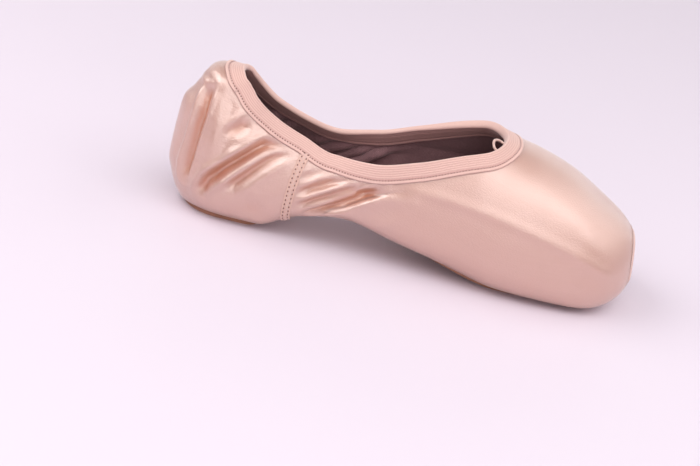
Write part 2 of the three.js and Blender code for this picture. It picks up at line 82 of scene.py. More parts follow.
class PointeShoeSizes(bpy.types.PropertyGroup):
    """Driving sizes of the last, the cloths and the sewing."""

    length: size("Length", "From the back of the heel to the platform", 235)
    ball_width: size("Ball width", "Width across the ball of the foot", 78)
    waist_width: size("Waist width", "Width at the arch", 54)
    heel_width: size("Heel width", "Width of the heel", 52)
    platform_width: size("Platform width", "Width of the toe tip", 46)
    platform_height: size("Platform height", "Height of the toe tip", 36)
    arch_rise: size("Arch rise", "Height of the underside at the arch", 14)
    toe_spring: size("Toe spring", "Height of the underside at the toe", 0.5)
    throat_height: size("Throat height", "Height of the collar at the front", 67.5)
    collar_low: size("Collar low point", "Height of the collar at the side", 44.1)
    heel_height: size("Heel height", "Height of the collar at the back", 71)
    soft_wall: size("Soft wall", "Wall of the upper at the heel and arch", 1.6)
    box_wall: size("Box wall", "Wall of the pasted box", 2.8)
    lining_cloth: size("Lining cloth", "Thickness of the lining", 0.5)
    sole_leather: size("Sole leather", "Thickness of the outsole leather", 2)
    sock_cloth: size("Sock cloth", "Thickness of the sock", 1.8)
    binding_width: size("Binding width", "Height of the elastic on the outside", 8.5)
    binding_cloth: size("Binding cloth", "Thickness of the elastic", 0.8)
    rib_pitch: size("Rib pitch", "Spacing of the ribs along the elastic", 1.05)
    seam_width: size("Seam width", "Width of the flat side seams", 4.5)
    cord_diameter: size("Cord diameter", "Diameter of the drawcord", 1.4)
    collar_stitch: size("Collar stitch", "Spacing of the stitches in the elastic", 1.45)
    seam_stitch: size("Seam stitch", "Spacing of the stitches in the side seams", 2.3)
    platform_stitch: size("Platform stitch", "Spacing of the close stitches over the platform's edge", 0.5)
    thread: size("Thread", "Diameter of the sewing thread", 0.4)


class PointeShoeFinishes(bpy.types.PropertyGroup):
    """Colours of the cloths, leather and floor."""

    satin: colour("Satin", "Colour of the satin", (0.6, 0.335, 0.268))
    satin_deep: colour("Deep satin", "Colour of the satin where its threads close up", (0.54, 0.275, 0.2))
    # Painted shade: the satin is coloured darker and more orange deep in its folds.
    satin_painted_fold_shade: colour("Painted fold shade", "Colour of the painted shade deep in the satin's folds", (0.56, 0.21, 0.11))
    # Painted shadow: a dark line behind the wing of the box.
    satin_shadow: colour(
        "Painted wing shadow", "Colour of the painted shadow line behind the wing of the box", (0.2, 0.07, 0.05)
    )
    seam: colour("Seam", "Colour of the sewn seam bands", (0.74, 0.47, 0.39))
    elastic: colour("Elastic", "Colour of the collar elastic", (0.71, 0.47, 0.41))
    # Partly random fuzz, partly painted shade between the ribs, in the stitch groove and at the rolled edge.
    elastic_fuzz_and_groove_shade: colour("Elastic fuzz and groove shade", "Colour of the elastic's random fuzz and of the painted shade between its ribs", (0.56, 0.32, 0.28))
    # Painted shade: the elastic's whole inner face is coloured darker.
    elastic_inside_shade: colour("Painted inner elastic shade", "Colour of the painted shade over the elastic's inner face", (0.42, 0.215, 0.2))
    lining: colour("Lining", "Colour of the lining and the sock", (0.31, 0.155, 0.165))
    leather: colour("Leather", "Colour of the sole", (0.3, 0.14, 0.09))
    platform: colour("Platform", "Colour of the platform's cover", (0.74, 0.48, 0.42))
    thread: colour("Thread", "Colour of the sewing thread", (0.74, 0.52, 0.47))
    # Painted shade: dark marks stand for the shade in the needle holes.
    needle_hole_shade: colour("Needle hole shade", "Colour of the painted shade in the needle holes", (0.2, 0.07, 0.06))
    edge_thread: colour("Platform thread", "Colour of the thread at the platform's edge", (0.6, 0.42, 0.38))
    floor: colour("Floor", "Colour of the floor", (0.71, 0.625, 0.7))


class PointeShoeSettings(bpy.types.PropertyGroup):
    """Everything that the panel shows."""

    sizes: PointerProperty(type=PointeShoeSizes)
    finishes: PointerProperty(type=PointeShoeFinishes)


def settings():
    """The sizes in millimetres as a plain namespace, and the finishes."""
    group = bpy.context.scene.pointe_shoe
    names = PointeShoeSizes.__annotations__
    plain = SimpleNamespace(**{name: getattr(group.sizes, name) / MM for name in names})
    return plain, group.finishes


# Shape of the last

THROAT_X = 158
BALL_X = 175
COLLAR_LOW_X = 77
HEEL_BULGE = 18.5
HEEL_ROUND = 30
HEEL_WALK = QUARTER_TURN * HEEL_ROUND
HEEL_POWER = 2.2
HEEL_TUCK = 7
HEEL_CURL = 27.5
HEEL_REACH = 80
TOE_REACH = 70
RIM_UNDER = (22, 12)
RIM_SIDES = (16, 10)
RIM_TOP = (8, 3.5)
PLATFORM_LEAN = 0.12
BOX_STARTS = 108
BOX_FULL = 140
FLAT_ENDS = 0.14
CORNER_ENDS = 0.46
GAP = 0.3
EDGE_WALL = 1.1
BOX_EDGE_WALL = 2.4
EDGE_WALL_GROWTH = 0.2


def curve_through(rows):
    """Smooth curve through (place, value) rows that never overshoots between two rows."""
    xs, ys = np.array(rows, float).T
    steps = np.diff(xs)
    slopes = np.diff(ys) / steps
    tangents = np.zeros(len(xs))
    for i in range(1, len(xs) - 1):
        if slopes[i - 1] * slopes[i] > 0:
            before = 2 * steps[i] + steps[i - 1]
            after = steps[i] + 2 * steps[i - 1]
            tangents[i] = (before + after) / (before / slopes[i - 1] + after / slopes[i])
    tangents[0] = end_tangent(steps[0], steps[1], slopes[0], slopes[1])
    tangents[-1] = end_tangent(steps[-1], steps[-2], slopes[-1], slopes[-2])

    def at(x):
        """Value at a place, held beyond the first and the last row."""
        inside = np.clip(x, xs[0], xs[-1])
        i = np.clip(np.searchsorted(xs, inside) - 1, 0, len(steps) - 1)
        t = (inside - xs[i]) / steps[i]
        blend = t * t * (3 - 2 * t)
        bow = t * (1 - t) * steps[i] * ((1 - t) * tangents[i] - t * tangents[i + 1])
        return ys[i] + (ys[i + 1] - ys[i]) * blend + bow

    return at


def end_tangent(near, following, slope, next_slope):
    """Tangent at the end of a curve, kept from overshooting."""
    tangent = ((2 * near + following) * slope - near * next_slope) / (near + following)
    if tangent * slope <= 0:
        return 0.0
    if slope * next_slope < 0 and abs(tangent) > 3 * abs(slope):
        return 3 * slope
    return tangent


def smoothstep(x, low, high):
    """Soft step from 0 at low to 1 at high."""
    t = np.clip((np.asarray(x, float) - low) / (high - low), 0, 1)
    return t * t * (3 - 2 * t)


class Last:
    """Outside of the upper as a function of place. All places are in millimetres."""

    def __init__(self, sizes):
        low, throat, heel = sizes.collar_low, sizes.throat_height, sizes.heel_height
        platform_top = sizes.toe_spring + sizes.platform_height
        self.sizes = sizes
        self.length = sizes.length
        # Rows are (x, value), and (z, value) for the heel's lean.
        self.side_half = curve_through([
            (0, 0.49 * sizes.heel_width),
            (HEEL_ROUND, 0.5 * sizes.heel_width),
            (85, 0.5 * sizes.waist_width),
            (128, 0.25 * (sizes.waist_width + sizes.ball_width)),
            (BALL_X, 0.5 * sizes.ball_width),
            (0.5 * (BALL_X + self.length), 0.475 * sizes.ball_width),
            (self.length, 0.5 * sizes.platform_width),
        ])
        self.underside = curve_through([
            (0, 0), (45, 0), (68, 0.7 * sizes.arch_rise), (90, sizes.arch_rise),
            (114, 0.68 * sizes.arch_rise), (140, 0.36 * sizes.arch_rise), (170, 0), (205, 0),
            (self.length, sizes.toe_spring),
        ])
        self.flat_share = curve_through([(0, 0.6), (150, 0.6), (205, 0.7), (self.length, 0.46)])
        self.corner_power = curve_through([(0, 2.4), (150, 2.4), (205, 2.8), (self.length, 2)])
        self.flank_height = curve_through([
            (0, HEEL_BULGE), (40, HEEL_BULGE), (90, 24), (BALL_X, 20),
            (self.length, sizes.toe_spring + 0.45 * sizes.platform_height),
        ])
        self.flank_power = curve_through([(0, 2.2), (40, 2.2), (90, 2.2), (BALL_X, 2.35), (self.length, 2.6)])
        self.collar_height = curve_through([
            (0, heel), (10, heel - 2.1), (17, heel - 3.4), (24, heel - 5.5), (30, heel - 8.9), (45, low + 10),
            (60, low + 4.5), (COLLAR_LOW_X, low), (97, low + 2), (117, low + 8.7), (140, throat - 5.4),
            (THROAT_X, throat),
        ])
        self.crown_height = curve_through([
            (0, heel + 3.8), (10, heel + 2.2), (20, heel - 0.6), (30, heel - 4.4), (45, low + 13.8),
            (COLLAR_LOW_X, low + 4.8), (97, low + 13.8), (117, throat - 1.2), (147, throat + 4.3),
            (THROAT_X, throat), (178, throat - 4.6), (198, throat - 10.9), (216, throat - 20),
            (self.length, platform_top),
        ])
        self.heel_lean = curve_through([
            (-5, 1.3 * HEEL_TUCK), (0, HEEL_TUCK), (8, 0.4 * HEEL_TUCK), (HEEL_BULGE, 0),
            (45, 0.03 * HEEL_CURL), (heel - 6, 0.32 * HEEL_CURL), (heel + 1, HEEL_CURL),
            (heel + 12, 1.8 * HEEL_CURL),
        ])

    def section(self, x):
        """Sizes of the cross sections at x: power, flank, top, rise, half width and bottom."""
        back = np.clip(1 - x / HEEL_ROUND, 0, 1)
        roundness = (1 - back**HEEL_POWER) ** (1 / HEEL_POWER)
        half = self.side_half(x) * roundness - self.rim_inset(RIM_SIDES, x)
        bottom = self.underside(x) + self.rim_inset(RIM_UNDER, x)
        power, flank = self.flank_power(x), self.flank_height(x)
        top = self.crown_height(x) - self.rim_inset(RIM_TOP, x)
        rise = np.where(x < THROAT_X, (self.collar_height(x) - flank) / (top - flank), 1)
        return power, flank, top, rise, half, bottom

    def rim_inset(self, rim, x):
        """How far the toe's rim has turned in at x, for a rim of (length, inset)."""
        length, inset = rim
        edge = np.clip((x - self.length + length) / length, 0, 1)
        return inset * (1 - np.sqrt(1 - edge * edge))

    def leaned(self, x, y, z):
        """Leans points to the heel's back profile at one end and the platform's slope at the other."""
        heel = self.heel_lean(z) * (1 - smoothstep(x, 0, HEEL_REACH))
        spring = self.sizes.toe_spring
        toe = PLATFORM_LEAN * (z - spring) * smoothstep(x, self.length - TOE_REACH, self.length)
        return np.stack(np.broadcast_arrays(x + heel - toe, y, z), -1)

    def skin(self, x, share, side):
        """Points of the outside at x and a share of the half ring, on one side."""
        x, share = np.broadcast_arrays(np.asarray(x, float), np.asarray(share, float))
        power, flank, top, rise, half, bottom = self.section(x)
        turn = QUARTER_TURN * np.clip((share - FLAT_ENDS) / (CORNER_ENDS - FLAT_ENDS), 0, 1)
        flat, corner = self.flat_share(x), self.corner_power(x)
        out = np.sin(turn) ** (2 / corner)
        down = np.clip(np.cos(turn), 0, 1) ** (2 / corner)
        low_y = half * np.where(share < FLAT_ENDS, flat * share / FLAT_ENDS, flat + (1 - flat) * out)
        low_z = flank - (flank - bottom) * down
        lift = np.clip((share - CORNER_ENDS) / (1 - CORNER_ENDS), 0, 1)
        turn = np.arcsin(np.clip(rise, 0, 1) ** (power / 2)) * lift
        high_y = half * np.clip(np.cos(turn), 0, 1) ** (2 / power)
        high_z = flank + (top - flank) * np.sin(turn) ** (2 / power)
        low = share <= CORNER_ENDS
        return self.leaned(x, side * np.where(low, low_y, high_y), np.where(low, low_z, high_z))

    def at_height(self, x, z, side):
        """Points of the outside at a height above the flank, on one side."""
        power, flank, top, _, half, _ = self.section(x)
        lift = np.clip((z - flank) / (top - flank), 0, 1)
        return self.leaned(x, side * half * (1 - lift**power) ** (1 / power), z)

    def collar_share(self, x):
        """Share of the half width at which the collar is cut."""
        power, _, _, rise, _, _ = self.section(x)
        return np.clip(1 - rise**power, 0, 1) ** (1 / power)

    def crown(self, walk, across):
        """Points of the upper curve by distance walked round the heel and share of the half width."""
        x = walk_to_x(walk)
        power, flank, top, _, half, _ = self.section(x)
        lift = np.clip(1 - np.abs(across) ** power, 0, 1) ** (1 / power)
        return self.leaned(x, across * half, flank + (top - flank) * lift)

    def bottom_height(self, x, y):
        """Height of the upper's underside at a place seen from above."""
        _, flank, _, _, half, bottom = self.section(x)
        flat, corner = self.flat_share(x), self.corner_power(x)
        out = np.clip((np.abs(y) / half - flat) / (1 - flat), 0, 1)
        return flank - (flank - bottom) * (1 - out**corner) ** (1 / corner)

    def wall(self, x):
        """Thickness of the upper's wall."""
        soft, box = self.sizes.soft_wall, self.sizes.box_wall
        return soft + (box - soft) * smoothstep(x, BOX_STARTS, BOX_FULL)

    def edge_wall(self, x, below):
        """The wall where it thins to the collar, at a distance below the collar's edge."""
        edge = EDGE_WALL + (BOX_EDGE_WALL - EDGE_WALL) * smoothstep(x, BOX_STARTS, BOX_FULL)
        return np.minimum(self.wall(x), edge + EDGE_WALL_GROWTH * below)


def walk_to_x(walk):
    """Place along the shoe after walking round the heel and then along the side."""
    walk = np.asarray(walk, float)
    round_heel = HEEL_ROUND * (1 - np.cos(np.clip(walk, 0, HEEL_WALK) / HEEL_ROUND))
    return np.where(walk < HEEL_WALK, round_heel, walk - HEEL_WALK + HEEL_ROUND)


def x_to_walk(x):
    """Distance walked from the middle of the heel's back to a place along the shoe."""
    x = np.asarray(x, float)
    round_heel = HEEL_ROUND * np.arccos(np.clip(1 - x / HEEL_ROUND, -1, 1))
    return np.where(x < HEEL_ROUND, round_heel, x - HEEL_ROUND + HEEL_WALK)


# Folds of the satin.
# Each row: side, depth (a ridge is negative), half width, points of (x, share).

BOTH = (LEFT, RIGHT)
FOLDS = [
    # heel panel, right side
    ((RIGHT,), 3.2, 2.2, [(5, 0.88), (7.5, 0.8), (9, 0.71), (8.5, 0.57), (8, 0.44)]),
    ((RIGHT,), 4.0, 2.3, [(16, 0.37), (19.5, 0.46), (26, 0.52), (35.5, 0.64), (45.5, 0.79), (53, 0.88)]),
    ((RIGHT,), 2.3, 2.8, [(30, 0.45), (39.5, 0.57), (47.5, 0.7), (55.5, 0.84)]),
    ((RIGHT,), 2.3, 2.4, [(24, 0.67), (27, 0.73), (29.5, 0.77), (32, 0.83), (34, 0.88)]),
    ((RIGHT,), -1.1, 3.2, [(9, 0.86), (15.5, 0.78), (18, 0.64), (18, 0.5), (15, 0.38)]),
    ((RIGHT,), -0.9, 2.4, [(26, 0.58), (34, 0.69), (41, 0.79)]),
    ((RIGHT,), -0.9, 1.8, [(23, 0.44), (33, 0.53), (43, 0.7), (53, 0.84)]),
    ((RIGHT,), 1.0, 4.5, [(35, 0.38), (43, 0.38), (51, 0.4)]),
    # heel panel, left side
    ((LEFT,), 3.0, 2.3, [(6, 0.86), (9.5, 0.76), (11, 0.62), (9.5, 0.46)]),
    ((LEFT,), 3.6, 2.3, [(18, 0.38), (24, 0.49), (32, 0.59), (42, 0.73), (50, 0.87)]),
    ((LEFT,), 2.2, 2.8, [(33, 0.43), (42, 0.55), (50, 0.7), (56, 0.83)]),
    ((LEFT,), 2.0, 2.4, [(22, 0.7), (26, 0.77), (30, 0.85)]),
    ((LEFT,), -1.0, 3.0, [(10, 0.85), (17, 0.74), (19, 0.58), (16, 0.42)]),
    # full back of the heel
    (BOTH, -2.0, 9.0, [(0, 0.78), (0, 0.66), (0, 0.54), (1, 0.44)]),
    # small gathers under the elastic at the back
    (BOTH, 0.7, 1.0, [(0, 0.885), (2.5, 0.89), (5, 0.905)]),
    (BOTH, -0.5, 1.4, [(0, 0.86), (2, 0.865), (5, 0.885)]),
    # gathered arch, right side
    ((RIGHT,), 1.3, 1.5, [(64, 0.6), (68, 0.7), (74.5, 0.82)]),
    ((RIGHT,), 2.0, 1.7, [(63, 0.49), (70, 0.565), (78, 0.675), (86, 0.77)]),
    ((RIGHT,), 2.2, 1.8, [(64, 0.4), (71, 0.45), (80, 0.525), (88.5, 0.64), (95, 0.74)]),
    ((RIGHT,), 2.0, 1.7, [(67.5, 0.32), (78.5, 0.41), (87, 0.5), (96, 0.63), (103, 0.74)]),
    ((RIGHT,), 1.7, 1.4, [(90, 0.57), (95.5, 0.665), (101, 0.75)]),
    # gathered arch, left side
    ((LEFT,), 1.4, 1.5, [(65, 0.62), (70, 0.72), (75, 0.82)]),
    ((LEFT,), 2.1, 1.8, [(64, 0.48), (72, 0.57), (81, 0.69), (88, 0.78)]),
    ((LEFT,), 2.0, 1.7, [(65, 0.38), (74, 0.45), (83, 0.54), (91, 0.66), (97, 0.75)]),
    ((LEFT,), 2.0, 1.6, [(70, 0.33), (80, 0.42), (90, 0.52), (99, 0.66), (105, 0.75)]),
    # box: a soft hollow behind its wing
    (BOTH, 0.8, 3.5, [(94, 0.36), (103, 0.48), (110, 0.565), (113, 0.62)]),
]
# Ridge between the side and the top of the box: height, half width, points of (x, z).
BOX_RIDGE = (0.8, 3.0, [
    (109, 42.4), (121, 41.9), (133, 41.8), (146, 41.3), (162, 39.8),
    (180, 36.3), (198, 32), (214, 25.8), (228, 18),
])
BOX_RIDGE_FADE = 12
BOX_RIDGE_STEPS = 99
# Edge of the box's stiff wing: points of (x, share).
WING_EDGE = [(74, 0.24), (78, 0.29), (82, 0.37), (90, 0.465), (98.5, 0.595), (107, 0.69), (116, 0.75)]
WING_PROUD = 1.2
WING_PROUD_REACH = 9
WING_DROP = 2.6
WING_DROP_REACH = 4.5
WING_TURN = 1.2
WING_STARTS = (0.25, 0.4)
WING_ENDS = (0.62, 0.75)
# Roll of satin at the top of the heel: height, half width, points of (x, share).
HEEL_ROLL = (2.8, 6.0, [(0, 0.93), (5, 0.93), (10, 0.92), (16, 0.9), (22, 0.88)])
HEEL_ROLL_FADE = 12
# Section of a fold, in half widths from its middle, with a lip on each side.
FOLD_POWER = 1.6
FOLD_ROUND = 0.25
FOLD_REACH = 4.2
LIP_HEIGHT = 0.4
LIP_PLACE = 1.8
LIP_WIDTH = 0.7
# Where folds fade: at their own ends, below the collar and by share above the sole.
FOLD_START_FADE = (-1, 7)
FOLD_END_FADE = (-4, 7)
COLLAR_FADE = (6, 15)
SOLE_FADE = (0.2, 0.33)
FOLD_STEP = 1.5
FOLD_FINE = 8
# Number of places round the heel and along the side, and how much they crowd towards the throat.
COLLAR_EDGE_PLACES = (30, 90, 2.5)
COLLAR_EDGE_STEP = 2


def bell(distance):
    """Bell curve, 1 at no distance."""
    return np.exp(-(distance**2))


def lengths_along(points):
    """Distance of each point of a line from its start."""
    steps = np.linalg.norm(np.diff(points, axis=0), axis=1)
    return np.concatenate([[0], np.cumsum(steps)])


def spread(points, step):
    """Points at about even steps along a line of points, with their distance from its start."""
    points = np.asarray(points, float)
    lengths = lengths_along(points)
    count = max(int(round(lengths[-1] / step)), 2)
    marks = np.linspace(0, lengths[-1], count + 1)
    columns = [np.interp(marks, lengths, column) for column in points.T]
    return np.stack(columns, -1), marks


def fold_line(last, places, side):
    """The line of a fold on the skin, through places of (x, share)."""
    knots = np.arange(len(places))
    fine = np.linspace(0, knots[-1], FOLD_FINE * knots[-1] + 1)
    xs, shares = (curve_through(list(zip(knots, column)))(fine) for column in zip(*places))
    return spread(last.skin(xs, shares, side), FOLD_STEP)


def ridge_line(last, side):
    """The line of the box's ridge on the skin."""
    rows = BOX_RIDGE[2]
    xs = np.linspace(rows[0][0], rows[-1][0], BOX_RIDGE_STEPS + 1)
    return spread(last.at_height(xs, curve_through(rows)(xs), side), FOLD_STEP)


def nearest_on_line(points, line, marks):
    """Distance of each point to a line, and how far along the line its nearest place is."""
    best = np.full(len(points), np.inf)
    along = np.zeros(len(points))
    for a, b, start, end in zip(line[:-1], line[1:], marks[:-1], marks[1:]):
        step = b - a
        t = np.clip((points - a) @ step / (step @ step), 0, 1)
        distance = np.linalg.norm(points - a - t[:, None] * step, axis=1)
        closer = distance < best
        best = np.where(closer, distance, best)
        along = np.where(closer, start + t * (end - start), along)
    return best, along


class Folds:
    """Height of the folds over the smooth skin, at any points near it."""

    def __init__(self, last):
        self.lines = {side: [] for side in BOTH}
        for sides, depth, width, places in FOLDS:
            for side in sides:
                self.lines[side].append((depth, width, *fold_line(last, places, side)))
        self.rolls = {side: fold_line(last, HEEL_ROLL[2], side) for side in BOTH}
        self.ridges = {side: ridge_line(last, side) for side in BOTH}
        self.wings = {side: fold_line(last, WING_EDGE, side) for side in BOTH}
        self.collar = {side: collar_edge(last, side) for side in BOTH}

    def height(self, points, side, share):
        """Height of all the folds at points of the smooth skin. Points lie on one side of the shoe."""
        total = np.zeros(len(points))
        for depth, width, line, marks in self.lines[side]:
            reach = FOLD_REACH * width
            near = np.all((points > line.min(0) - reach) & (points < line.max(0) + reach), axis=1)
            if near.any():
                total[near] -= depth * self.trough(points[near], width, line, marks)
        total += self.wing(points, side, share) + self.ridge(points, side)
        total *= smoothstep(self.below_collar(points, side), *COLLAR_FADE) * smoothstep(share, *SOLE_FADE)
        return total + self.roll(points, side)

    def trough(self, points, width, line, marks):
        """Depth of one fold as a share of its full depth."""
        distance, along = nearest_on_line(points, line, marks)
        blunt = FOLD_ROUND * width
        q = (np.hypot(distance, blunt) - blunt) / width
        shape = np.exp(-(q**FOLD_POWER)) - LIP_HEIGHT * bell((q - LIP_PLACE) / LIP_WIDTH)
        return shape * smoothstep(along, *FOLD_START_FADE) * smoothstep(marks[-1] - along, *FOLD_END_FADE)

    def below_collar(self, points, side):
        """Distance of points from the collar's edge."""
        return nearest_on_line(points, *self.collar[side])[0]

    def roll(self, points, side):
        """Full roll of satin at the top of the heel, where the elastic draws it in."""
        height, width, _ = HEEL_ROLL
        line, marks = self.rolls[side]
        distance, along = nearest_on_line(points, line, marks)
        return height * bell(distance / width) * smoothstep(marks[-1] - along, 0, HEEL_ROLL_FADE)

    def ridge(self, points, side):
        """Soft ridge between the side and the top of the box."""
        height, width, _ = BOX_RIDGE
        line, marks = self.ridges[side]
        distance, along = nearest_on_line(points, line, marks)
        ends = smoothstep(along, 0, BOX_RIDGE_FADE) * smoothstep(marks[-1] - along, 0, BOX_RIDGE_FADE)
        return height * bell(distance / width) * ends

    def wing_distance(self, points, side, share):
        """Distance of points in front of the wing's edge, negative behind it, and how full the edge is."""
        edge_xs, edge_shares = zip(*WING_EDGE)
        ahead = np.sign(points[:, 0] - np.interp(share, edge_shares, edge_xs))
        fullness = smoothstep(share, *WING_STARTS) * (1 - smoothstep(share, *WING_ENDS))
        return nearest_on_line(points, *self.wings[side])[0] * ahead, fullness

    def wing(self, points, side, share):
        """Step at the wing of the box: the box stands proud and the soft arch drops in behind it."""
        signed, fullness = self.wing_distance(points, side, share)
        proud = WING_PROUD * bell(signed / WING_PROUD_REACH)
        drop = WING_DROP * bell(signed / WING_DROP_REACH)
        blend = 0.5 + 0.5 * np.tanh(signed / WING_TURN)
        return fullness * (blend * proud - (1 - blend) * drop)


def collar_stations(heel_count, side_count, crowding):
    """Places along the collar from the heel's back to the throat."""
    heel = walk_to_x(np.linspace(0, HEEL_WALK, heel_count))
    back = np.linspace(1, 0, side_count)[1:] ** crowding
    return np.concatenate([heel, THROAT_X - (THROAT_X - HEEL_ROUND) * back])


def collar_edge(last, side):
    """The collar's edge on one side, from the heel's back to the throat."""
    xs = collar_stations(*COLLAR_EDGE_PLACES)
    return spread(last.skin(xs, np.ones(len(xs)), side), COLLAR_EDGE_STEP)


# Meshes from arrays

MERGE_STEPS = 1e4
TINY = 1e-12


def unit(vectors):
    """Vectors made one long."""
    return vectors / np.maximum(np.linalg.norm(vectors, axis=-1, keepdims=True), TINY)


def listed(*grids):
    """The points of several grids in one list."""
    return np.concatenate([grid.reshape(-1, grid.shape[-1]) for grid in grids])


def merged(points, quads):
    """Points with doubles merged, their faces, which points were kept, and each point's new number."""
    keys = np.round(points * MERGE_STEPS).astype(np.int64)
    _, kept, own = np.unique(keys, axis=0, return_index=True, return_inverse=True)
    own = own.reshape(-1)
    return points[kept], own[quads], kept, own


def grid_quads(rows, columns, closed_rows=False, closed_columns=False):
    """Corner numbers of the faces of a grid of points."""
    i = np.arange(rows if closed_rows else rows - 1)
    j = np.arange(columns if closed_columns else columns - 1)
    i, j = (numbers.ravel() for numbers in np.meshgrid(i, j, indexing="ij"))
    below, right = (i + 1) % rows, (j + 1) % columns
    return np.stack([i * columns + j, i * columns + right, below * columns + right, below * columns + j], -1)


def corner_normals(points, quads):
    """Outward directions at the points of a mesh of faces."""
    diagonal_a = points[quads[:, 2]] - points[quads[:, 0]]
    diagonal_b = points[quads[:, 3]] - points[quads[:, 1]]
    facing = np.cross(diagonal_a, diagonal_b)
    normals = np.zeros_like(points)
    for corner in quads.T:
        np.add.at(normals, corner, facing)
    return unit(normals)


def rim_faces(quads, offset):
    """Faces that close the rim between a sheet and its copy, whose points are numbered from offset."""
    edges = np.concatenate([np.stack([quads[:, k], quads[:, (k + 1) % 4]], -1) for k in range(4)])
    edges = edges[edges[:, 0] != edges[:, 1]]
    codes = edges[:, 0] * offset + edges[:, 1]
    twins = edges[:, 1] * offset + edges[:, 0]
    rim = edges[~np.isin(codes, twins)]
    return np.stack([rim[:, 1], rim[:, 0], rim[:, 0] + offset, rim[:, 1] + offset], -1)


def shell(outer, inner, quads):
    """A closed wall between two sheets of points with the same faces."""
    count = len(outer)
    back = quads[:, ::-1] + count
    return np.concatenate([outer, inner]), np.concatenate([quads, back, rim_faces(quads, count)])


def plain_face(corners):
    """A face's corners with repeats left out."""
    return list(dict.fromkeys(corners))


def make_object(name, points, quads, uv=None, values=None):
    """A smooth mesh object at the origin from points in millimetres on the shoe."""
    faces = [plain_face(corners) for corners in quads.tolist()]
    mesh = bpy.data.meshes.new(name)
    mesh.from_pydata(placed(points), [], [corners for corners in faces if len(corners) > 2])
    mesh.shade_smooth()
    if uv is not None:
        corners = np.zeros(len(mesh.loops), int)
        mesh.loops.foreach_get("vertex_index", corners)
        layer = mesh.uv_layers.new(name="cloth")
        layer.data.foreach_set("uv", uv[corners].astype(np.float32).ravel())
    for key, value in (values or {}).items():
        attribute = mesh.attributes.new(key, "FLOAT", "POINT")
        attribute.data.foreach_set("value", value.astype(np.float32))
    return linked(name, mesh)


def placed(points):
    """Points on the shoe in metres of the frame."""
    return (points * MM + np.array(HEEL_BACK_AT)).tolist()


def linked(name, data):
    """A new object in the scene."""
    obj = bpy.data.objects.new(name, data)
    bpy.context.scene.collection.objects.link(obj)
    return obj


def finish_piece(obj, material, slot, *nodes):
    """Gives a piece its material and its body, and hides the solids that it stands for. The slot is not used.
    """
    obj.data.materials.clear()
    obj.data.materials.append(material)
    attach(obj, "root")
    if nodes:
        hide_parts(*nodes)


# Upper and lining

CLOTH_UNIT = 300
UPPER_HEEL_STEPS = 66
UPPER_SIDE_STEPS = 106
UPPER_THROAT_STEPS = 24
UPPER_VAMP_STEPS = 30
UPPER_RIM_STEPS = 14
UPPER_END_STEPS = 14
UPPER_AROUND = 92
THROAT_ROUND = 26
THROAT_CROWDING = 1.8
SOFT_ENDS = (90, 125)
# Depths of the folds over which their painted shade comes in.
FOLD_SHADE_DEPTHS = (0.3, 3.0)
MIDDLE = 1e-6


def upper_stations(last):
    """Places along the upper, close together at the heel and round the throat."""
    heel = walk_to_x(np.linspace(0, HEEL_WALK, UPPER_HEEL_STEPS + 1))
    side = np.linspace(HEEL_ROUND, THROAT_X - THROAT_ROUND, UPPER_SIDE_STEPS + 1)[1:]
    back = np.linspace(1, 0, UPPER_THROAT_STEPS + 1)[1:] ** THROAT_CROWDING
    vamp = np.linspace(THROAT_X, last.length - RIM_UNDER[0], UPPER_VAMP_STEPS + 1)[1:]
    rim = rim_stations(last, np.linspace(0, QUARTER_TURN, UPPER_RIM_STEPS + 1)[1:])
    return np.concatenate([heel, side, THROAT_X - THROAT_ROUND * back, vamp, rim])


def rim_stations(last, turns):
    """Places along the shoe where the toe's rim has turned by some angles."""
    return last.length - RIM_UNDER[0] * (1 - np.sin(turns))


def ring_grid(last, xs, around):
    """Rings of points from one collar edge under the foot to the other, with x, share and side of each."""
    shares = np.linspace(0, 1, around + 1)
    right = last.skin(xs[:, None], shares[None, ::-1], RIGHT)
    left = last.skin(xs[:, None], shares[None, 1:], LEFT)
    ring = np.concatenate([shares[::-1], shares[1:]])
    sides = np.concatenate([np.full(len(shares), RIGHT), np.full(len(shares) - 1, LEFT)])
    places = np.stack(np.broadcast_arrays(xs[:, None], ring[None, :], sides[None, :]), -1)
    return np.concatenate([right, left], axis=1), places


def end_cap(ring, steps):
    """Rows of points that close the toe's last ring, from its right half to its left half."""
    half = len(ring) // 2
    right, left = ring[: half + 1], ring[half:][::-1]
    return right + (left - right) * np.linspace(0, 1, steps + 1)[:, None, None]


def capped_quads(grid, end):
    """Faces of a grid of rings and of the cap that closes it."""
    rows, columns = grid.shape[:2]
    return np.concatenate([grid_quads(rows, columns), grid_quads(*end.shape[:2]) + rows * columns])


def upper_sheet(last):
    """The whole outside of the upper: points, faces, places and cloth coordinates."""
    xs = upper_stations(last)
    grid, places = ring_grid(last, xs, UPPER_AROUND)
    half = grid.shape[1] // 2
    steps = np.linalg.norm(np.diff(grid, axis=1), axis=2)
    around = np.cumsum(np.pad(steps, ((0, 0), (1, 0))), axis=1)
    from_sole = np.abs(around - around[:, half, None])
    walks = np.broadcast_to(x_to_walk(xs)[:, None], from_sole.shape)
    end = end_cap(grid[-1], UPPER_END_STEPS)
    end_walks = end[..., 2] + x_to_walk(last.length)
    cloth = listed(np.stack([walks, from_sole], -1), np.stack([end_walks, np.abs(end[..., 1])], -1))
    end_places = np.broadcast_to(places[-1, : half + 1], end.shape)
    points, quads, kept, _ = merged(listed(grid, end), capped_quads(grid, end))
    return points, quads, listed(places, end_places)[kept], cloth[kept]


